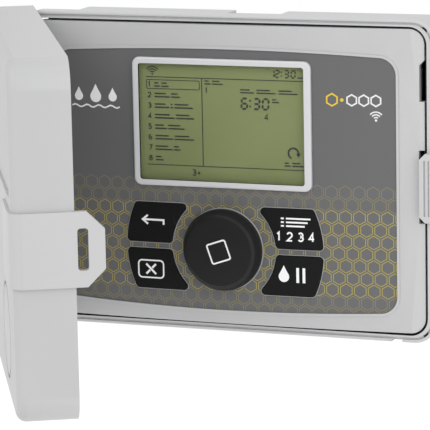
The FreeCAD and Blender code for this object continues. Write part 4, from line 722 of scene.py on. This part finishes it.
def make_ribbon():
    """Flat cable from the terminal board to the panel, ribbed over its wires."""
    route = [(12.9, -34.0), (20, -34.0), (30, -34.0), (38, -34.1), (41.4, -34.6), (42.5, -36.4),
             (42.5, -39.0), (43.4, -40.6), (46, -41.0), (50, -41.0), (53.7, -41.0)]
    wires = 6
    section = []
    for k in range(wires * 6 + 1):
        x = -68.0 + k * 6.0 / (wires * 6)
        section.append((x, 0.28 + 0.14 * abs(math.sin(math.pi * k / 6))))
    outline = section + [(x, -h) for x, h in reversed(section)]
    bm = bmesh.new()
    fine = []
    for a, b in zip(route[:-1], route[1:]):
        fine += [(a[0] + (b[0] - a[0]) * t / 4, a[1] + (b[1] - a[1]) * t / 4) for t in range(4)]
    fine.append(route[-1])
    loops = []
    for i, (d, z) in enumerate(fine):
        a = fine[max(0, i - 1)]
        b = fine[min(len(fine) - 1, i + 1)]
        way = Vector((b[0] - a[0], b[1] - a[1])).normalized()
        side = Vector((-way.y, way.x))
        loops.append([bm.verts.new((x * MM, -(d + side.x * h) * MM, (z + side.y * h) * MM))
                      for x, h in outline])
    count = len(outline)
    for a, b in zip(loops[:-1], loops[1:]):
        for k in range(count):
            m = (k + 1) % count
            bm.faces.new((a[k], a[m], b[m], b[k]))
    bm.faces.new(loops[0])
    bm.faces.new(loops[-1][::-1])
    piece = make_piece(bm, "ribbon", "ribbon", smooth=True)
    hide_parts("ribbon_cable")
    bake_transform(piece)
    return piece


make_display_art()
make_label_art()
make_button_art()
make_board_parts()
make_ribbon()


# ---------------------------------------------------------------- floor, light and camera

def plain_stage():
    mesh = bpy.data.meshes.new("floor")
    size = 6.0
    corners = [(-size, -size, 0), (size, -size, 0), (size, size, 0), (-size, size, 0)]
    mesh.from_pydata(corners, [], [(0, 1, 2, 3)])
    floor = bpy.data.objects.new("floor", mesh)
    floor.location = (0, 0, FLOOR_Z)
    bpy.context.collection.objects.link(floor)
    n = Nodes("floor")
    soft = n.noise(3.0, 2.0)
    n.link(n.mix(soft, srgb(253, 253, 253), srgb(255, 255, 255)), n.bsdf.inputs["Base Color"])
    n.set(Roughness=0.9)
    mesh.materials.append(n.mat)


def area_light(name, spot, target, size, power):
    data = bpy.data.lights.new(name, "AREA")
    data.shape = "SQUARE"
    data.size = size
    data.energy = power
    lamp = bpy.data.objects.new(name, data)
    lamp.location = spot
    lamp.rotation_euler = (Vector(target) - Vector(spot)).to_track_quat("-Z", "Y").to_euler()
    bpy.context.collection.objects.link(lamp)


def make_camera():
    """A view from the right and a little above, through a long lens."""
    azimuth, rise, roll = math.radians(AZIMUTH), math.radians(RISE), math.radians(ROLL)
    back = Vector((math.sin(azimuth) * math.cos(rise), -math.cos(azimuth) * math.cos(rise), math.sin(rise)))
    across = Vector((0, 0, 1)).cross(back).normalized()
    up = back.cross(across)
    right = across * math.cos(roll) + up * math.sin(roll)
    top = up * math.cos(roll) - across * math.sin(roll)
    data = bpy.data.cameras.new("camera")
    data.sensor_width = SENSOR
    data.lens = LENS
    data.clip_start = 0.05
    data.clip_end = 20.0
    camera = bpy.data.objects.new("camera", data)
    matrix = Matrix((right, top, back)).transposed().to_4x4()
    matrix.translation = Vector(TARGET) + back * DISTANCE
    camera.matrix_world = matrix
    bpy.context.collection.objects.link(camera)
    bpy.context.scene.camera = camera


plain_stage()
world = bpy.data.worlds.new("studio")
world.use_nodes = True
world.node_tree.nodes["Background"].inputs[0].default_value = (1, 1, 1, 1)
world.node_tree.nodes["Background"].inputs[1].default_value = 1.0
bpy.context.scene.world = world
area_light("key", (-0.6, -1.3, 1.1), (0, -0.05, 0), 0.9, 7.0)
area_light("fill", (1.3, -1.0, 0.5), (0, -0.05, 0), 1.2, 5.0)
bpy.context.scene.view_settings.view_transform = "Standard"
make_camera()
